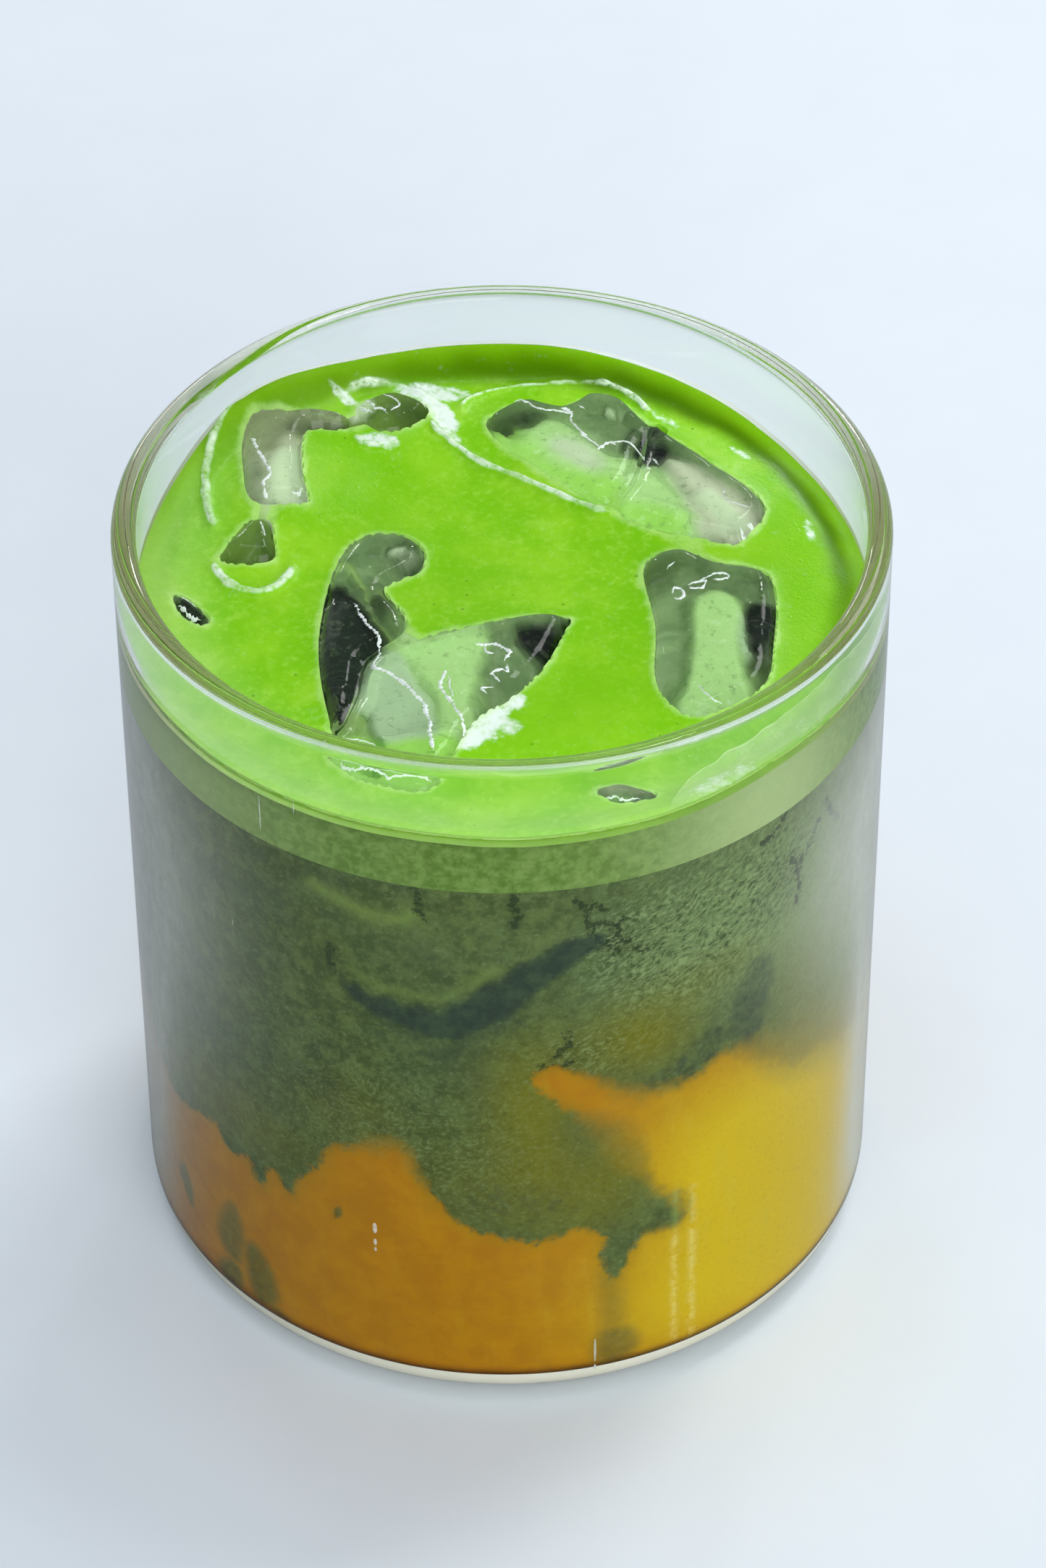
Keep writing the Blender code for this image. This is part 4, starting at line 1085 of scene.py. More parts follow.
def glint_lines_mesh():
    """Thin, uneven white ridges along lines on all the ice: painted highlights of glints on the wet ice."""
    draw = np.random.default_rng(SEED + 70)
    points, faces = [], []
    for name, entry in ICE.items():
        for width, line in entry["glint_lines"]:
            path = smooth_curve(line, GLINT_LINE_STEP, closed=False)
            count = len(path)
            wander = np.cumsum(draw.normal(0, GLINT_LINE_WANDER, (count, 2)), axis=0)
            path = path + wander - np.linspace(wander[0], wander[-1], count)
            ahead = np.gradient(path, axis=0)
            across = np.stack((ahead[:, 1], -ahead[:, 0]), axis=1)
            across /= np.linalg.norm(across, axis=1)[:, None] + 1e-9
            taper = np.minimum(1, np.minimum(np.arange(count), np.arange(count)[::-1]) / 4 + 0.15)
            wide = (GLINT_LINE_THINNING * width * taper * draw.uniform(*GLINT_LINE_UNEVEN, count))[:, None]
            for side, lift in ((-1, 0.0), (0, 1.0), (1, 0.0)):
                row = path + across * wide * side
                z = crown_height(name, row[:, 0], row[:, 1]) + GLINT_LINE_PROUD + lift * GLINT_LINE_HEIGHT * taper
                points.append(np.stack((row[:, 0], row[:, 1], z), axis=1))
            first = sum(len(p) for p in points[:-3])
            for i in range(count - 1):
                for k in range(2):
                    a = first + k * count + i
                    faces.append((a, a + 1, a + count + 1, a + count))
    return make_mesh("ice_glint_lines", np.vstack(points), faces)


def face_outwards(mesh):
    """Turns the faces so that a closed mesh has its outside out."""
    work = bmesh.new()
    work.from_mesh(mesh)
    bmesh.ops.recalc_face_normals(work, faces=work.faces)
    work.to_mesh(mesh)
    work.free()
    return mesh


# The drink's side


def soft_shapes(s, z, entries):
    """How strongly soft-edged shapes on the side show at each point."""
    total = np.zeros(s.shape)
    for strength, softness, outline in entries:
        inside = depth_inside(s, z, smooth_curve(along_wall(outline), 0.8))
        total = np.maximum(total, strength * eased(0.5 + inside / (2 * softness)))
    return total


def side_fields(angle, z):
    """What shows at each point of the drink's side."""
    s = angle * math.pi / 180 * DRINK_RADIUS
    edge = smooth_curve(along_wall(MILK_EDGE), 1.5, closed=False)
    loop = np.vstack((edge, ((edge[-1, 0], 120.0), (edge[0, 0], 120.0))))
    milk = depth_inside(s, z, loop, reach=12.0)
    scrap = soft_shapes(s, z, MILK_SCRAPS)
    dark = soft_shapes(s, z, SUNK_ICE)
    crease = np.zeros(s.shape)
    for strength, width, points in CREASES:
        away = distance_to_line(s, z, smooth_curve(along_wall(points), 1.0, closed=False))
        crease = np.maximum(crease, strength * np.exp(-((away / width) ** 2)))
    crack = np.zeros(s.shape)
    for points in CRACKS:
        away = distance_to_line(s, z, along_wall(points))
        crack = np.maximum(crack, np.clip(1 - away / CRACK_REACH, 0, 1))
    return {"milk": milk, "scrap": scrap, "dark": dark, "crease": crease, "crack": crack}


def blobs(angle, z, entries):
    """Soft round patches on the side, added up."""
    total = np.zeros(angle.shape)
    for middle, height, half_width, half_height, amount in entries:
        off = (angle - middle + 180) % 360 - 180
        total += amount * np.exp(-((off / half_width) ** 2) - ((z - height) / half_height) ** 2)
    return np.clip(total, 0, 1)


def side_attributes(angle, z):
    fields = side_fields(angle, z)
    for name, entries in (
        ("warm", WARM),
        ("pale", PALE_HAZE_REFLECTION),
        ("frost", FROST),
        ("light", LIGHT),
        ("yellow", YELLOW),
        ("soft", SOFT_EDGE),
    ):
        fields[name] = blobs(angle, z, entries)
    return fields


def puree_surface(x, y):
    """The puree's uneven top, as in the CAD model."""
    reach = eased(np.hypot(x, y) / BORE)
    swirl = SWIRL_RISE * np.sin(x / SWIRL_LONG) * np.cos(y / SWIRL_DEEP) * (1 - reach)
    return PUREE_MEAN + (ring_value(PUREE_LINE, angle_of(x, y)) - PUREE_MEAN) * reach**1.5 + swirl


def barrel_mesh(name, low, high, low_profile, top_surface, low_surface):
    """A layer of the drink.

    low and high are its heights at the wall by angle. low_profile holds (radius, height) pairs under the
    wall. top_surface and low_surface give the caps' heights at x, y.
    """
    angle = np.linspace(-180, 180, SIDE_STEPS, endpoint=False)
    bottom, top = low(angle), high(angle)
    rows = round(float(np.max(top - bottom)) / SIDE_ROW)
    points, angles = [], []
    for radius, height in low_profile:
        x, y = on_wall(angle, radius)
        z = np.full(angle.shape, height) if height is not None else low_surface(x, y)
        points.append(np.stack((x, y, z), axis=1))
        angles.append(angle)
    for t in np.linspace(0, 1, rows + 1):
        x, y = on_wall(angle, DRINK_RADIUS)
        points.append(np.stack((x, y, bottom + (top - bottom) * t), axis=1))
        angles.append(angle)
    for radius in np.linspace(DRINK_RADIUS, 0, 20)[1:-1]:
        x, y = on_wall(angle, radius)
        points.append(np.stack((x, y, top_surface(x, y)), axis=1))
        angles.append(angle)
    count = len(points)
    faces = quads(count, SIDE_STEPS)
    total = np.vstack(points)
    low_middle = np.array([[0.0, 0.0, float(total[0, 2])]])
    high_middle = np.array([[0.0, 0.0, float(top_surface(np.array([0.0]), np.array([-1e-6]))[0])]])
    total = np.vstack((total, low_middle, high_middle))
    first = count * SIDE_STEPS
    last = (count - 1) * SIDE_STEPS
    for i in range(SIDE_STEPS):
        j = (i + 1) % SIDE_STEPS
        faces.append((first, j, i))
        faces.append((first + 1, last + i, last + j))
    all_angles = np.concatenate((*angles, [0.0, 0.0]))
    return make_mesh(name, total, faces, **side_attributes(all_angles, total[:, 2]))


def puree_mesh():
    heel = arc(DRINK_RADIUS - PUREE_HEEL, FLOOR - INTO_WALL + PUREE_HEEL, PUREE_HEEL, -90, 0, 10)[:-1]
    floor = [(r, FLOOR - INTO_WALL) for r in (6.0, 14.0, 22.0, 29.0)]
    return barrel_mesh(
        "fruit_puree_body",
        lambda angle: np.full(angle.shape, FLOOR - INTO_WALL + PUREE_HEEL),
        lambda angle: ring_value(PUREE_LINE, angle),
        floor + heel,
        puree_surface,
        None,
    )


def milk_mesh():
    flat = [(r, None) for r in np.linspace(4, DRINK_RADIUS, 12)[:-1]]
    return barrel_mesh(
        "matcha_milk_body",
        lambda angle: ring_value(PUREE_LINE, angle),
        lambda angle: np.full(angle.shape, MILK_LEVEL),
        flat,
        lambda x, y: np.full(np.shape(x), MILK_LEVEL),
        puree_surface,
    )


# Materials

STREAK_TURN = (0, -28, 30)  # degrees: the frost's streaks run up to the right at the front right
STREAK_SCALE = (2, 1, 1)
GLEAM_TURN, GLEAM_SCALE = (0, 0, -50), (2.4, 1, 1)
WISP_SCALE, PUREE_STREAK_SCALE = (1, 1, 1.7), (1, 1, 5)
NO_TURN = (0, 0, 0)
GLASS_IOR, ICE_IOR, FOAM_IOR = 1.47, 1.31, 1.36
GLASS_SHINE = (0.45, 0.45, 0.45, 1.0)
GLASS_SHADE, ICE_SHADE = (0.93, 0.95, 0.93, 1.0), (0.88, 0.92, 0.88, 1.0)
FLOOR_UNSEEN = 0.48  # how much of the floor is kept out of mirror reflections, which would veil the drink
LINING_COLOURS = {  # in the order in which they lie over each other
    "murk": (90, 116, 64),
    "cloud": (168, 210, 130),
    "grey": (168, 196, 152),
    "clear": (192, 200, 168),
    "shade": (136, 148, 108),
    "olive": (102, 134, 50),
    "milky": (196, 215, 174),
    "leaf": (134, 166, 92),
    "pale": (198, 218, 176),
    "green": (150, 208, 84),
    "dark": (16, 34, 12),
}


def linear(red, green, blue):
    """A colour given as 0 to 255 sRGB, as the shader's linear colour."""
    parts = [v / 255 for v in (red, green, blue)]
    return (*(v / 12.92 if v <= 0.04045 else ((v + 0.055) / 1.055) ** 2.4 for v in parts), 1.0)


class Finish:
    """A material that is built node by node. Sizes are in millimetres."""

    def __init__(self, name):
        self.material = bpy.data.materials.new(name)
        self.material.use_nodes = True
        self.tree = self.material.node_tree
        self.shader = self.tree.nodes["Principled BSDF"]
        self.output = self.tree.nodes["Material Output"]
        self.place = self.node("ShaderNodeTexCoord").outputs["Object"]

    def node(self, kind, **settings):
        made = self.tree.nodes.new(kind)
        for key, value in settings.items():
            setattr(made, key, value)
        return made

    def link(self, source, target):
        if isinstance(source, bpy.types.NodeSocket):
            self.tree.links.new(source, target)
        else:
            target.default_value = source

    def set(self, **sockets):
        for key, value in sockets.items():
            self.link(value, self.shader.inputs[key.replace("_", " ")])

    def math(self, operation, a, b=0.0, c=0.0, clamp=False):
        made = self.node("ShaderNodeMath", operation=operation, use_clamp=clamp)
        for value, target in zip((a, b, c), made.inputs, strict=True):
            self.link(value, target)
        return made.outputs[0]

    def times(self, a, b, clamp=False):
        return self.math("MULTIPLY", a, b, clamp=clamp)

    def scaled(self, value, factor, added):
        return self.math("MULTIPLY_ADD", value, factor, added)

    def swing(self, noise, factor, added=0.0):
        """A value that noise pushes up and down."""
        return self.scaled(self.math("SUBTRACT", noise, 0.5), factor, added)

    def step(self, value, low, high):
        """Eases from 0 at low to 1 at high."""
        made = self.node("ShaderNodeMapRange", interpolation_type="SMOOTHSTEP")
        for key, number in (("Value", value), ("From Min", low), ("From Max", high)):
            self.link(number, made.inputs[key])
        return made.outputs["Result"]

    def attribute(self, name):
        return self.node("ShaderNodeAttribute", attribute_name=name).outputs["Fac"]

    def noise(self, size, detail=3.0, roughness=0.55, vector=None):
        """Noise with features of about the given size, 0 to 1."""
        made = self.node("ShaderNodeTexNoise")
        self.link(vector or self.place, made.inputs["Vector"])
        made.inputs["Scale"].default_value = 1 / (size * MM)
        made.inputs["Detail"].default_value = detail
        made.inputs["Roughness"].default_value = roughness
        return made.outputs["Fac"]

    def cells(self, size):
        """Distance from scattered points, in cells of the given size."""
        made = self.node("ShaderNodeTexVoronoi")
        self.link(self.place, made.inputs["Vector"])
        made.inputs["Scale"].default_value = 1 / (size * MM)
        return made.outputs["Distance"]

    def stretched(self, source, turn, scale):
        """The place turned by degrees, with patterns drawn out by the scale along its own axes."""
        made = self.node("ShaderNodeMapping", vector_type="TEXTURE")
        made.inputs["Rotation"].default_value = [math.radians(part) for part in turn]
        made.inputs["Scale"].default_value = scale
        self.link(source, made.inputs["Vector"])
        return made.outputs[0]

    def warped(self, size, amount):
        """The place pushed about by up to about the given amount."""
        push = self.node("ShaderNodeTexNoise")
        self.link(self.place, push.inputs["Vector"])
        push.inputs["Scale"].default_value = 1 / (size * MM)
        centred = self.node("ShaderNodeVectorMath", operation="SUBTRACT")
        self.link(push.outputs["Color"], centred.inputs[0])
        centred.inputs[1].default_value = (0.5, 0.5, 0.5)
        scaled = self.node("ShaderNodeVectorMath", operation="MULTIPLY_ADD")
        self.link(centred.outputs[0], scaled.inputs[0])
        scaled.inputs[1].default_value = (2 * amount * MM,) * 3
        self.link(self.place, scaled.inputs[2])
        return scaled.outputs[0]

    def mix(self, share, a, b):
        made = self.node("ShaderNodeMix", data_type="RGBA")
        self.link(share, made.inputs[0])
        self.link(a, made.inputs[6])
        self.link(b, made.inputs[7])
        return made.outputs[2]

    def blend(self, share, dark, light):
        """One colour that gives way to another, both as 0 to 255."""
        return self.mix(share, linear(*dark), linear(*light))

    def coat(self, under, colour, share, amount=1.0):
        """A colour, as 0 to 255, laid over what is under it."""
        if amount != 1.0:
            share = self.times(share, amount)
        return self.mix(share, under, linear(*colour))

    def bump(self, height, distance, under=None):
        made = self.node("ShaderNodeBump")
        made.inputs["Strength"].default_value = 1.0
        made.inputs["Distance"].default_value = distance * MM
        self.link(height, made.inputs["Height"])
        if under is not None:
            self.link(under, made.inputs["Normal"])
        return made.outputs["Normal"]

    def pass_lamps(self, tint):
        """Lets the lamps' light through, as thin clear glass does."""
        path = self.node("ShaderNodeLightPath")
        clear = self.node("ShaderNodeBsdfTransparent")
        clear.inputs["Color"].default_value = tint
        both = self.node("ShaderNodeMixShader")
        self.link(path.outputs["Is Shadow Ray"], both.inputs["Fac"])
        self.link(self.shader.outputs[0], both.inputs[1])
        self.link(clear.outputs[0], both.inputs[2])
        self.link(both.outputs[0], self.output.inputs["Surface"])


def glass_finish():
    finish = Finish("clear_glass_finish")
    finish.set(Base_Color=linear(247, 251, 247), Roughness=0.0, IOR=GLASS_IOR, Transmission_Weight=1.0)
    finish.set(Specular_Tint=GLASS_SHINE)
    finish.pass_lamps(GLASS_SHADE)
    return finish.material


def ice_finish():
    finish = Finish("wet_ice_finish")
    finish.set(Base_Color=linear(246, 252, 247), Roughness=0.02, IOR=ICE_IOR, Transmission_Weight=1.0)
    fine = finish.bump(finish.noise(0.4, detail=2), 0.008)
    finish.set(Normal=finish.bump(finish.noise(2.2, detail=4), 0.10, under=fine))
    finish.pass_lamps(ICE_SHADE)
    return finish.material


def foam_top(finish, clouds, broken, rim):
    """The foam from above: mottled, painted shade by the wall, painted highlights on ridges and glances."""
    colour = finish.blend(finish.step(finish.noise(9), 0.35, 0.7), (124, 200, 2), (150, 214, 34))
    colour = finish.coat(colour, (166, 222, 70), finish.step(clouds, 0.5, 0.72), 0.45)
    colour = finish.coat(colour, (118, 192, 0), finish.step(clouds, 0.48, 0.3), 0.3)
    fine = finish.noise(0.8, detail=4, roughness=0.6)
    colour = finish.coat(colour, (176, 230, 84), finish.step(fine, 0.45, 0.75), 0.3)
    spots = finish.times(finish.step(finish.cells(2.3), 0.1, 0.04), finish.step(clouds, 0.42, 0.55))
    colour = finish.coat(colour, (70, 116, 10), spots, 0.75)
    # Painted sheen and condensation haze: paler near the wall.
    haze = finish.times(finish.attribute("haze"), finish.scaled(clouds, 0.5, 0.2))
    colour = finish.coat(colour, (204, 236, 160), haze)
    colour = finish.coat(colour, (124, 194, 0), finish.attribute("deep"), 0.7)
    # Painted shade: darker where the foam climbs the wall, most at the back, and darker still in its fold.
    colour = finish.coat(colour, (112, 166, 8), rim, 0.8)
    colour = finish.coat(colour, (70, 112, 0), finish.attribute("fold"), 0.9)
    # Painted highlight: white along the ridges' crests, broken up.
    ridge = finish.step(finish.attribute("ridge"), 0.45, 0.85)
    ridge = finish.times(ridge, finish.scaled(finish.step(clouds, 0.4, 0.56), 0.5, 0.5))
    colour = finish.coat(colour, (230, 250, 222), finish.times(ridge, finish.step(broken, 0.3, 0.56)))
    drawn_out = finish.stretched(finish.place, GLEAM_TURN, GLEAM_SCALE)
    gleam = finish.noise(2, detail=5, roughness=0.6, vector=drawn_out)
    sheen = finish.attribute("sheen")
    glance = finish.swing(finish.noise(0.7), 1.8, finish.swing(gleam, 2.2, sheen))
    lit = finish.scaled(finish.step(sheen, 0, 0.3), 0.75, 0.2)
    colour = finish.coat(colour, (238, 250, 242), finish.times(finish.step(glance, 0.3, 1.4), lit))
    halo = finish.step(finish.swing(clouds, 1.6, finish.attribute("inside")), -0.8, 0.1)
    return finish.coat(colour, (196, 236, 144), halo, 0.55)


def foam_side(finish, clouds):
    """The foam through the wall: a bright line along its top edge, duller and mottled below."""
    grain = finish.noise(1.1, detail=4, roughness=0.65)
    ragged = finish.swing(finish.noise(1.6, detail=4), 1.5, finish.attribute("below"))
    colour = finish.blend(finish.step(grain, 0.35, 0.68), (92, 126, 46), (126, 158, 78))
    colour = finish.coat(colour, (140, 168, 96), finish.step(clouds, 0.45, 0.7), 0.35)
    colour = finish.coat(colour, (192, 214, 152), finish.attribute("band"), 0.85)
    colour = finish.coat(colour, (134, 192, 30), finish.step(ragged, 1.25, 0.7))
    return finish.coat(colour, (206, 232, 150), finish.step(ragged, 0.5, 0.25), 0.7)


def foam_lining(finish):
    """The lining of the wells, seen through the ice."""
    murk = finish.noise(2.4, detail=4)
    colour = finish.blend(finish.step(murk, 0.3, 0.7), (106, 136, 84), (130, 158, 104))
    for kind, tint in LINING_COLOURS.items():
        colour = finish.coat(colour, tint, finish.attribute(kind))
    curds = finish.noise(1.1, detail=6, roughness=0.7)
    colour = finish.coat(colour, (84, 116, 62), finish.step(curds, 0.46, 0.3), 0.45)
    milky = finish.times(finish.step(curds, 0.54, 0.72), finish.scaled(finish.attribute("cloud"), 0.4, 0.12))
    colour = finish.coat(colour, (204, 230, 180), milky)
    flecks = finish.times(finish.step(finish.cells(1.1), 0.16, 0.06), finish.step(murk, 0.5, 0.62))
    return finish.coat(colour, (210, 226, 184), flecks, 0.4)


def foam_finish():
    finish = Finish("matcha_foam_finish")
    clouds = finish.noise(3.2, detail=5, roughness=0.65)
    broken = finish.noise(0.9, detail=5, roughness=0.7)
    rim = finish.step(finish.attribute("rim"), 0.02, 0.5)
    at_side = finish.step(finish.attribute("below"), 0, 0.2)
    colour = finish.mix(at_side, foam_top(finish, clouds, broken, rim), foam_side(finish, clouds))
    colour = finish.mix(finish.step(finish.attribute("inside"), -0.04, 0.06), colour, foam_lining(finish))
    finish.set(Base_Color=colour, Roughness=0.17, IOR=FOAM_IOR)
    level = finish.scaled(rim, -0.2, 0.24)
    finish.set(Specular_IOR_Level=finish.times(level, finish.math("SUBTRACT", 1.0, at_side)))
    pits = finish.step(finish.cells(1.4), 0.2, 0.05)
    normal = finish.bump(pits, 0.03, under=finish.bump(broken, 0.05))
    finish.set(Normal=finish.bump(finish.noise(0.35, roughness=0.7), 0.02, under=normal))
    return finish.material


def foot_light_finish():
    finish = Finish("foot_light_finish")
    colour = finish.blend(finish.noise(6), (246, 240, 214), (255, 252, 240))
    finish.set(Base_Color=colour, Roughness=0.4)
    return finish.material


def lip_light_finish():
    finish = Finish("lip_light_finish")
    uneven = finish.noise(2)
    colour = finish.blend(uneven, (112, 122, 60), (144, 154, 88))
    colour = finish.coat(colour, (240, 246, 246), finish.attribute("back"))
    bright = finish.blend(uneven, (118, 168, 30), (150, 200, 60))
    finish.set(Base_Color=finish.mix(finish.attribute("front"), colour, bright), Roughness=0.5)
    return finish.material


def film_finish():
    finish = Finish("foam_film_finish")
    patchy = finish.noise(2.6, detail=5, roughness=0.65)
    cover = finish.scaled(finish.step(patchy, 0.3, 0.7), 0.14, 0.24)
    cover = finish.scaled(finish.step(finish.attribute("edge"), 0.4, 0.1), 0.2, cover)
    colour = finish.blend(patchy, (176, 212, 120), (222, 238, 196))
    finish.set(Base_Color=colour, Roughness=0.35, Alpha=finish.times(cover, finish.attribute("fade")))
    return finish.material


# Painted highlight: white, half-clear drops that stand for glints on water on the glass.
def drip_glint_finish():
    finish = Finish("drop_glint_finish")
    uneven = finish.noise(0.6, detail=2)
    finish.set(Base_Color=finish.blend(uneven, (226, 232, 226), (252, 254, 252)), Roughness=0.12)
    finish.set(Alpha=finish.scaled(uneven, 0.4, 0.35))
    return finish.material


# Painted highlight: the white of the glints along the lines on the ice.
def glint_lines_finish():
    finish = Finish("ice_glint_lines_finish")
    colour = finish.blend(finish.noise(0.4), (236, 246, 238), (250, 254, 255))
    finish.set(Base_Color=colour, Roughness=0.25)
    return finish.material


def side_milk(finish, rags, grit, crust, frost):
    """Mottled green milk, frosted in places and darker where ice has sunk behind it."""
    clots = finish.noise(2, detail=6, roughness=0.7)
    milk = finish.blend(finish.step(clots, 0.38, 0.64), (74, 91, 45), (102, 121, 65))
    milk = finish.coat(milk, (72, 92, 62), finish.step(finish.noise(12), 0.42, 0.66), 0.6)
    milk = finish.coat(milk, (146, 172, 110), finish.attribute("light"), 0.8)
    milk = finish.coat(milk, (124, 122, 12), finish.attribute("warm"))
    milk = finish.coat(milk, (150, 172, 118), finish.step(grit, 0.52, 0.72), 0.35)
    milk = finish.coat(milk, (50, 66, 36), finish.step(grit, 0.47, 0.3), 0.4)
    milk = finish.coat(milk, (176, 202, 138), finish.times(finish.step(crust, 0.5, 0.62), frost), 0.6)
    milk = finish.coat(milk, (54, 76, 38), finish.times(finish.step(crust, 0.48, 0.38), frost), 0.7)
    crease = finish.times(finish.attribute("crease"), finish.scaled(rags, 1.4, 0.1), clamp=True)
    milk = finish.coat(milk, (142, 168, 84), crease, 0.75)
    crack = finish.attribute("crack")
    jagged = finish.step(finish.swing(grit, 2.6, crack), 0.68, 0.95)
    milk = finish.coat(milk, (36, 52, 28), finish.times(jagged, finish.step(crack, 0, 0.3)), 0.8)
    sunk = finish.attribute("dark")
    shadow = finish.step(finish.swing(rags, 1.6, sunk), 0.1, 0.9)
    shadow = finish.times(shadow, finish.step(sunk, 0.02, 0.4))
    cold = finish.blend(finish.step(clots, 0.4, 0.62), (42, 58, 52), (56, 76, 60))
    return finish.mix(finish.times(shadow, finish.scaled(sunk, 0.5, 0.35)), milk, cold)


def side_puree(finish, ragged, rags, milk_depth):
    """Orange puree, painted lighter and yellower on the lit right, with pale runs and a dull edge by the
    milk.
    """
    yellow = finish.attribute("yellow")
    puree = finish.blend(finish.step(ragged, 0.35, 0.65), (178, 120, 0), (190, 132, 0))
    # Painted light: lighter and yellower where light from the right falls on the puree.
    puree = finish.coat(puree, (222, 190, 0), yellow)
    drawn_out = finish.stretched(finish.place, NO_TURN, PUREE_STREAK_SCALE)
    streaks = finish.step(finish.noise(2.2, detail=4, vector=drawn_out), 0.52, 0.75)
    puree = finish.coat(puree, (216, 200, 60), finish.times(streaks, finish.scaled(yellow, 0.25, 0.08)))
    run = finish.times(finish.attribute("crease"), finish.step(rags, 0.38, 0.6))
    puree = finish.coat(puree, (240, 222, 120), run, 0.7)
    puree = finish.coat(puree, (156, 102, 0), finish.step(finish.noise(0.35), 0.5, 0.75), 0.22)
    return finish.coat(puree, (158, 128, 8), finish.step(milk_depth, -2.2, 0.2), 0.45)


def side_finish(name):
    """Milk and puree as they show through the wall."""
    finish = Finish(name)
    warp = finish.warped(5.0, 1.6)
    ragged = finish.noise(3.4, detail=6, roughness=0.62, vector=warp)
    rags = finish.noise(1.3, detail=6, roughness=0.68, vector=warp)
    grit = finish.noise(0.6, detail=5, roughness=0.75)
    frost = finish.attribute("frost")
    streaky = finish.stretched(warp, STREAK_TURN, STREAK_SCALE)
    crust = finish.noise(0.45, detail=5, roughness=0.7, vector=streaky)
    # Where milk gives way to puree
    wobble = finish.swing(rags, 2.4, finish.swing(ragged, 3.0))
    milk_depth = finish.math("ADD", finish.attribute("milk"), wobble)
    width = finish.scaled(finish.attribute("soft"), 9.0, 0.5)
    share = finish.scaled(finish.math("DIVIDE", milk_depth, width), 0.5, 0.5)
    scrap = finish.times(finish.attribute("scrap"), finish.scaled(rags, 1.1, 0.4), clamp=True)
    milkiness = finish.math("MAXIMUM", finish.step(share, 0, 1), scrap)
    milk, puree = side_milk(finish, rags, grit, crust, frost), side_puree(finish, ragged, rags, milk_depth)
    colour = finish.coat(finish.mix(milkiness, puree, milk), (124, 104, 2), finish.attribute("scrap"), 0.5)
    drawn_out = finish.stretched(warp, NO_TURN, WISP_SCALE)
    wisps = finish.noise(1.5, detail=6, roughness=0.62, vector=drawn_out)
    # Painted reflection and haze: paler where glare and condensation show near the side's edges.
    pale = finish.times(finish.attribute("pale"), finish.scaled(wisps, 0.5, 0.55), clamp=True)
    finish.set(Base_Color=finish.coat(colour, (226, 228, 220), pale), Roughness=0.5, Specular_IOR_Level=0.0)
    rough = finish.scaled(crust, frost, finish.times(grit, 0.35))
    finish.set(Normal=finish.bump(finish.times(rough, milkiness), 0.5))
    return finish.material


def floor_finish():
    finish = Finish("pale_floor_finish")
    colour = finish.blend(finish.noise(14, detail=4), (236, 243, 251), (240, 248, 255))
    path = finish.node("ShaderNodeLightPath").outputs
    mirrored = finish.math("SUBTRACT", path["Is Glossy Ray"], path["Is Transmission Ray"], clamp=True)
    finish.set(Base_Color=finish.coat(colour, (0, 0, 0), mirrored, FLOOR_UNSEEN), Roughness=0.6)
    return finish.material


# The pieces


def dress_glass():
    add_piece("glass_clear", glass_mesh(), glass_finish(), "clear_glass", "glass")
    add_piece("foot_light", foot_light_mesh(), foot_light_finish(), "clear_glass")
    add_piece("lip_light", lip_light_mesh(), lip_light_finish(), "clear_glass")
    add_piece("glass_drips", drips_mesh(), drip_glint_finish(), "clear_glass")


def dress_drink():
    puree, milk = side_finish("fruit_puree_finish"), side_finish("matcha_milk_finish")
    add_piece("fruit_puree_body", face_outwards(puree_mesh()), puree, "fruit_puree", "fruit_puree")
    add_piece("matcha_milk_body", face_outwards(milk_mesh()), milk, "matcha_milk", "matcha_milk")
    add_piece("matcha_foam_top", face_outwards(foam_mesh()), foam_finish(), "matcha_foam", "matcha_foam")
    add_piece("foam_film", film_mesh(), film_finish(), "matcha_foam")


def dress_ice():
    finish = ice_finish()
    for name in ICE:
        add_piece(name + "_wet", face_outwards(ice_mesh(name)), finish, "ice", name)
    add_piece("ice_glint_lines", glint_lines_mesh(), glint_lines_finish(), "ice")


# The studio: the sky's colours by height, and the lamps by name, place, aim, size and watts, in metres

SKY = ((0.0, (0.55, 0.58, 0.62, 1)), (0.7, (0.86, 0.93, 1.0, 1)))
SKY_STRENGTH = 0.5
LAMPS = (
    ("key", (0.75, 0.85, 1.05), (0, 0, 0.05), (0.6, 0.5), 5.6),
    ("top", (-0.1, 0.05, 1.4), (0, 0, 0.08), (0.6, 0.5), 2.0),
    ("fill", (0.45, -1.2, 0.55), (0, 0, 0.04), (1.0, 0.7), 9),
    ("spark_back", (0.35, 1.1, 0.62), (0, 0, 0.08), (0.12, 0.12), 1.0),
    ("spark_low", (-0.5, 1.3, 0.4), (0, 0, 0.08), (0.3, 0.08), 1.2),
    ("spark_high", (0.3, 0.3, 1.2), (0, 0, 0.08), (0.12, 0.12), 1.0),
)


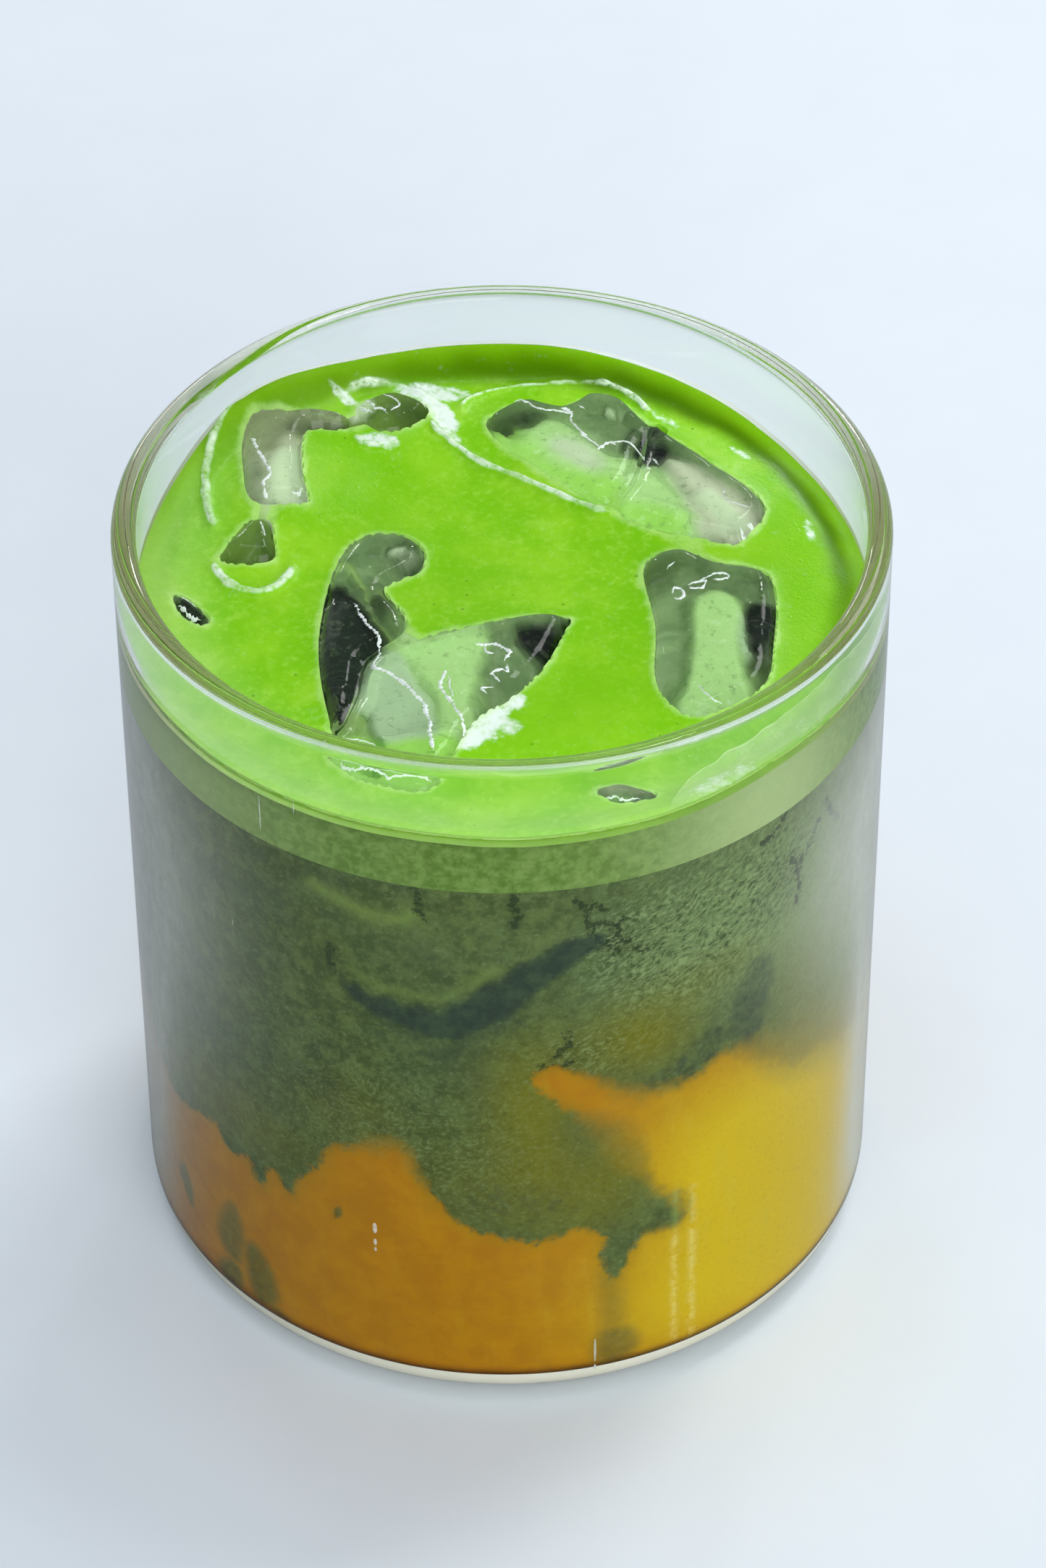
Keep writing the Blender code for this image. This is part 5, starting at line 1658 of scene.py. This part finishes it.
def add_camera():
    data = bpy.data.cameras.new("camera")
    data.sensor_width = SENSOR
    data.lens = FOCAL_PX / PHOTO_HEIGHT_PX * SENSOR
    data.clip_start, data.clip_end = 0.01, 20
    camera = bpy.data.objects.new("camera", data)
    bpy.context.scene.collection.objects.link(camera)
    turn = Matrix.Identity(4)
    for degrees, axis in ((-CAMERA_YAW, "Z"), (90 - CAMERA_DOWN, "X"), (CAMERA_ROLL, "Z")):
        turn = turn @ Matrix.Rotation(math.radians(degrees), 4, axis)
    camera.matrix_world = Matrix.Translation((0, -CAMERA_AWAY * MM, CAMERA_UP * MM)) @ turn
    bpy.context.scene.camera = camera


def add_lamp(name, place, aim, size, watts):
    data = bpy.data.lights.new(name, "AREA")
    data.shape = "RECTANGLE"
    data.size, data.size_y = size
    data.energy = watts
    lamp = bpy.data.objects.new(name, data)
    bpy.context.scene.collection.objects.link(lamp)
    lamp.location = place
    lamp.rotation_euler = (Vector(aim) - Vector(place)).to_track_quat("-Z", "Y").to_euler()


def add_world():
    world = bpy.data.worlds.new("studio")
    bpy.context.scene.world = world
    world.use_nodes = True
    nodes, links = world.node_tree.nodes, world.node_tree.links
    background = nodes["Background"]
    place = nodes.new("ShaderNodeTexCoord")
    split = nodes.new("ShaderNodeSeparateXYZ")
    ramp = nodes.new("ShaderNodeValToRGB")
    links.new(place.outputs["Generated"], split.inputs[0])
    links.new(split.outputs["Z"], ramp.inputs[0])
    links.new(ramp.outputs[0], background.inputs["Color"])
    for stop, (height, colour) in zip(ramp.color_ramp.elements, SKY, strict=True):
        stop.position, stop.color = height, colour
    background.inputs["Strength"].default_value = SKY_STRENGTH


def add_floor():
    bpy.ops.mesh.primitive_plane_add(size=6)
    floor = bpy.context.active_object
    floor.name = "floor"
    floor.data.materials.append(floor_finish())


def light_studio():
    add_world()
    add_floor()
    for lamp in LAMPS:
        add_lamp(*lamp)
    scene = bpy.context.scene
    scene.view_settings.view_transform = "Standard"
    scene.cycles.use_denoising = True
    scene.cycles.max_bounces = 16
    scene.cycles.glossy_bounces = 12
    scene.cycles.caustics_reflective = False
    scene.cycles.transmission_bounces = 12


add_camera()
dress_glass()
dress_drink()
dress_ice()
light_studio()
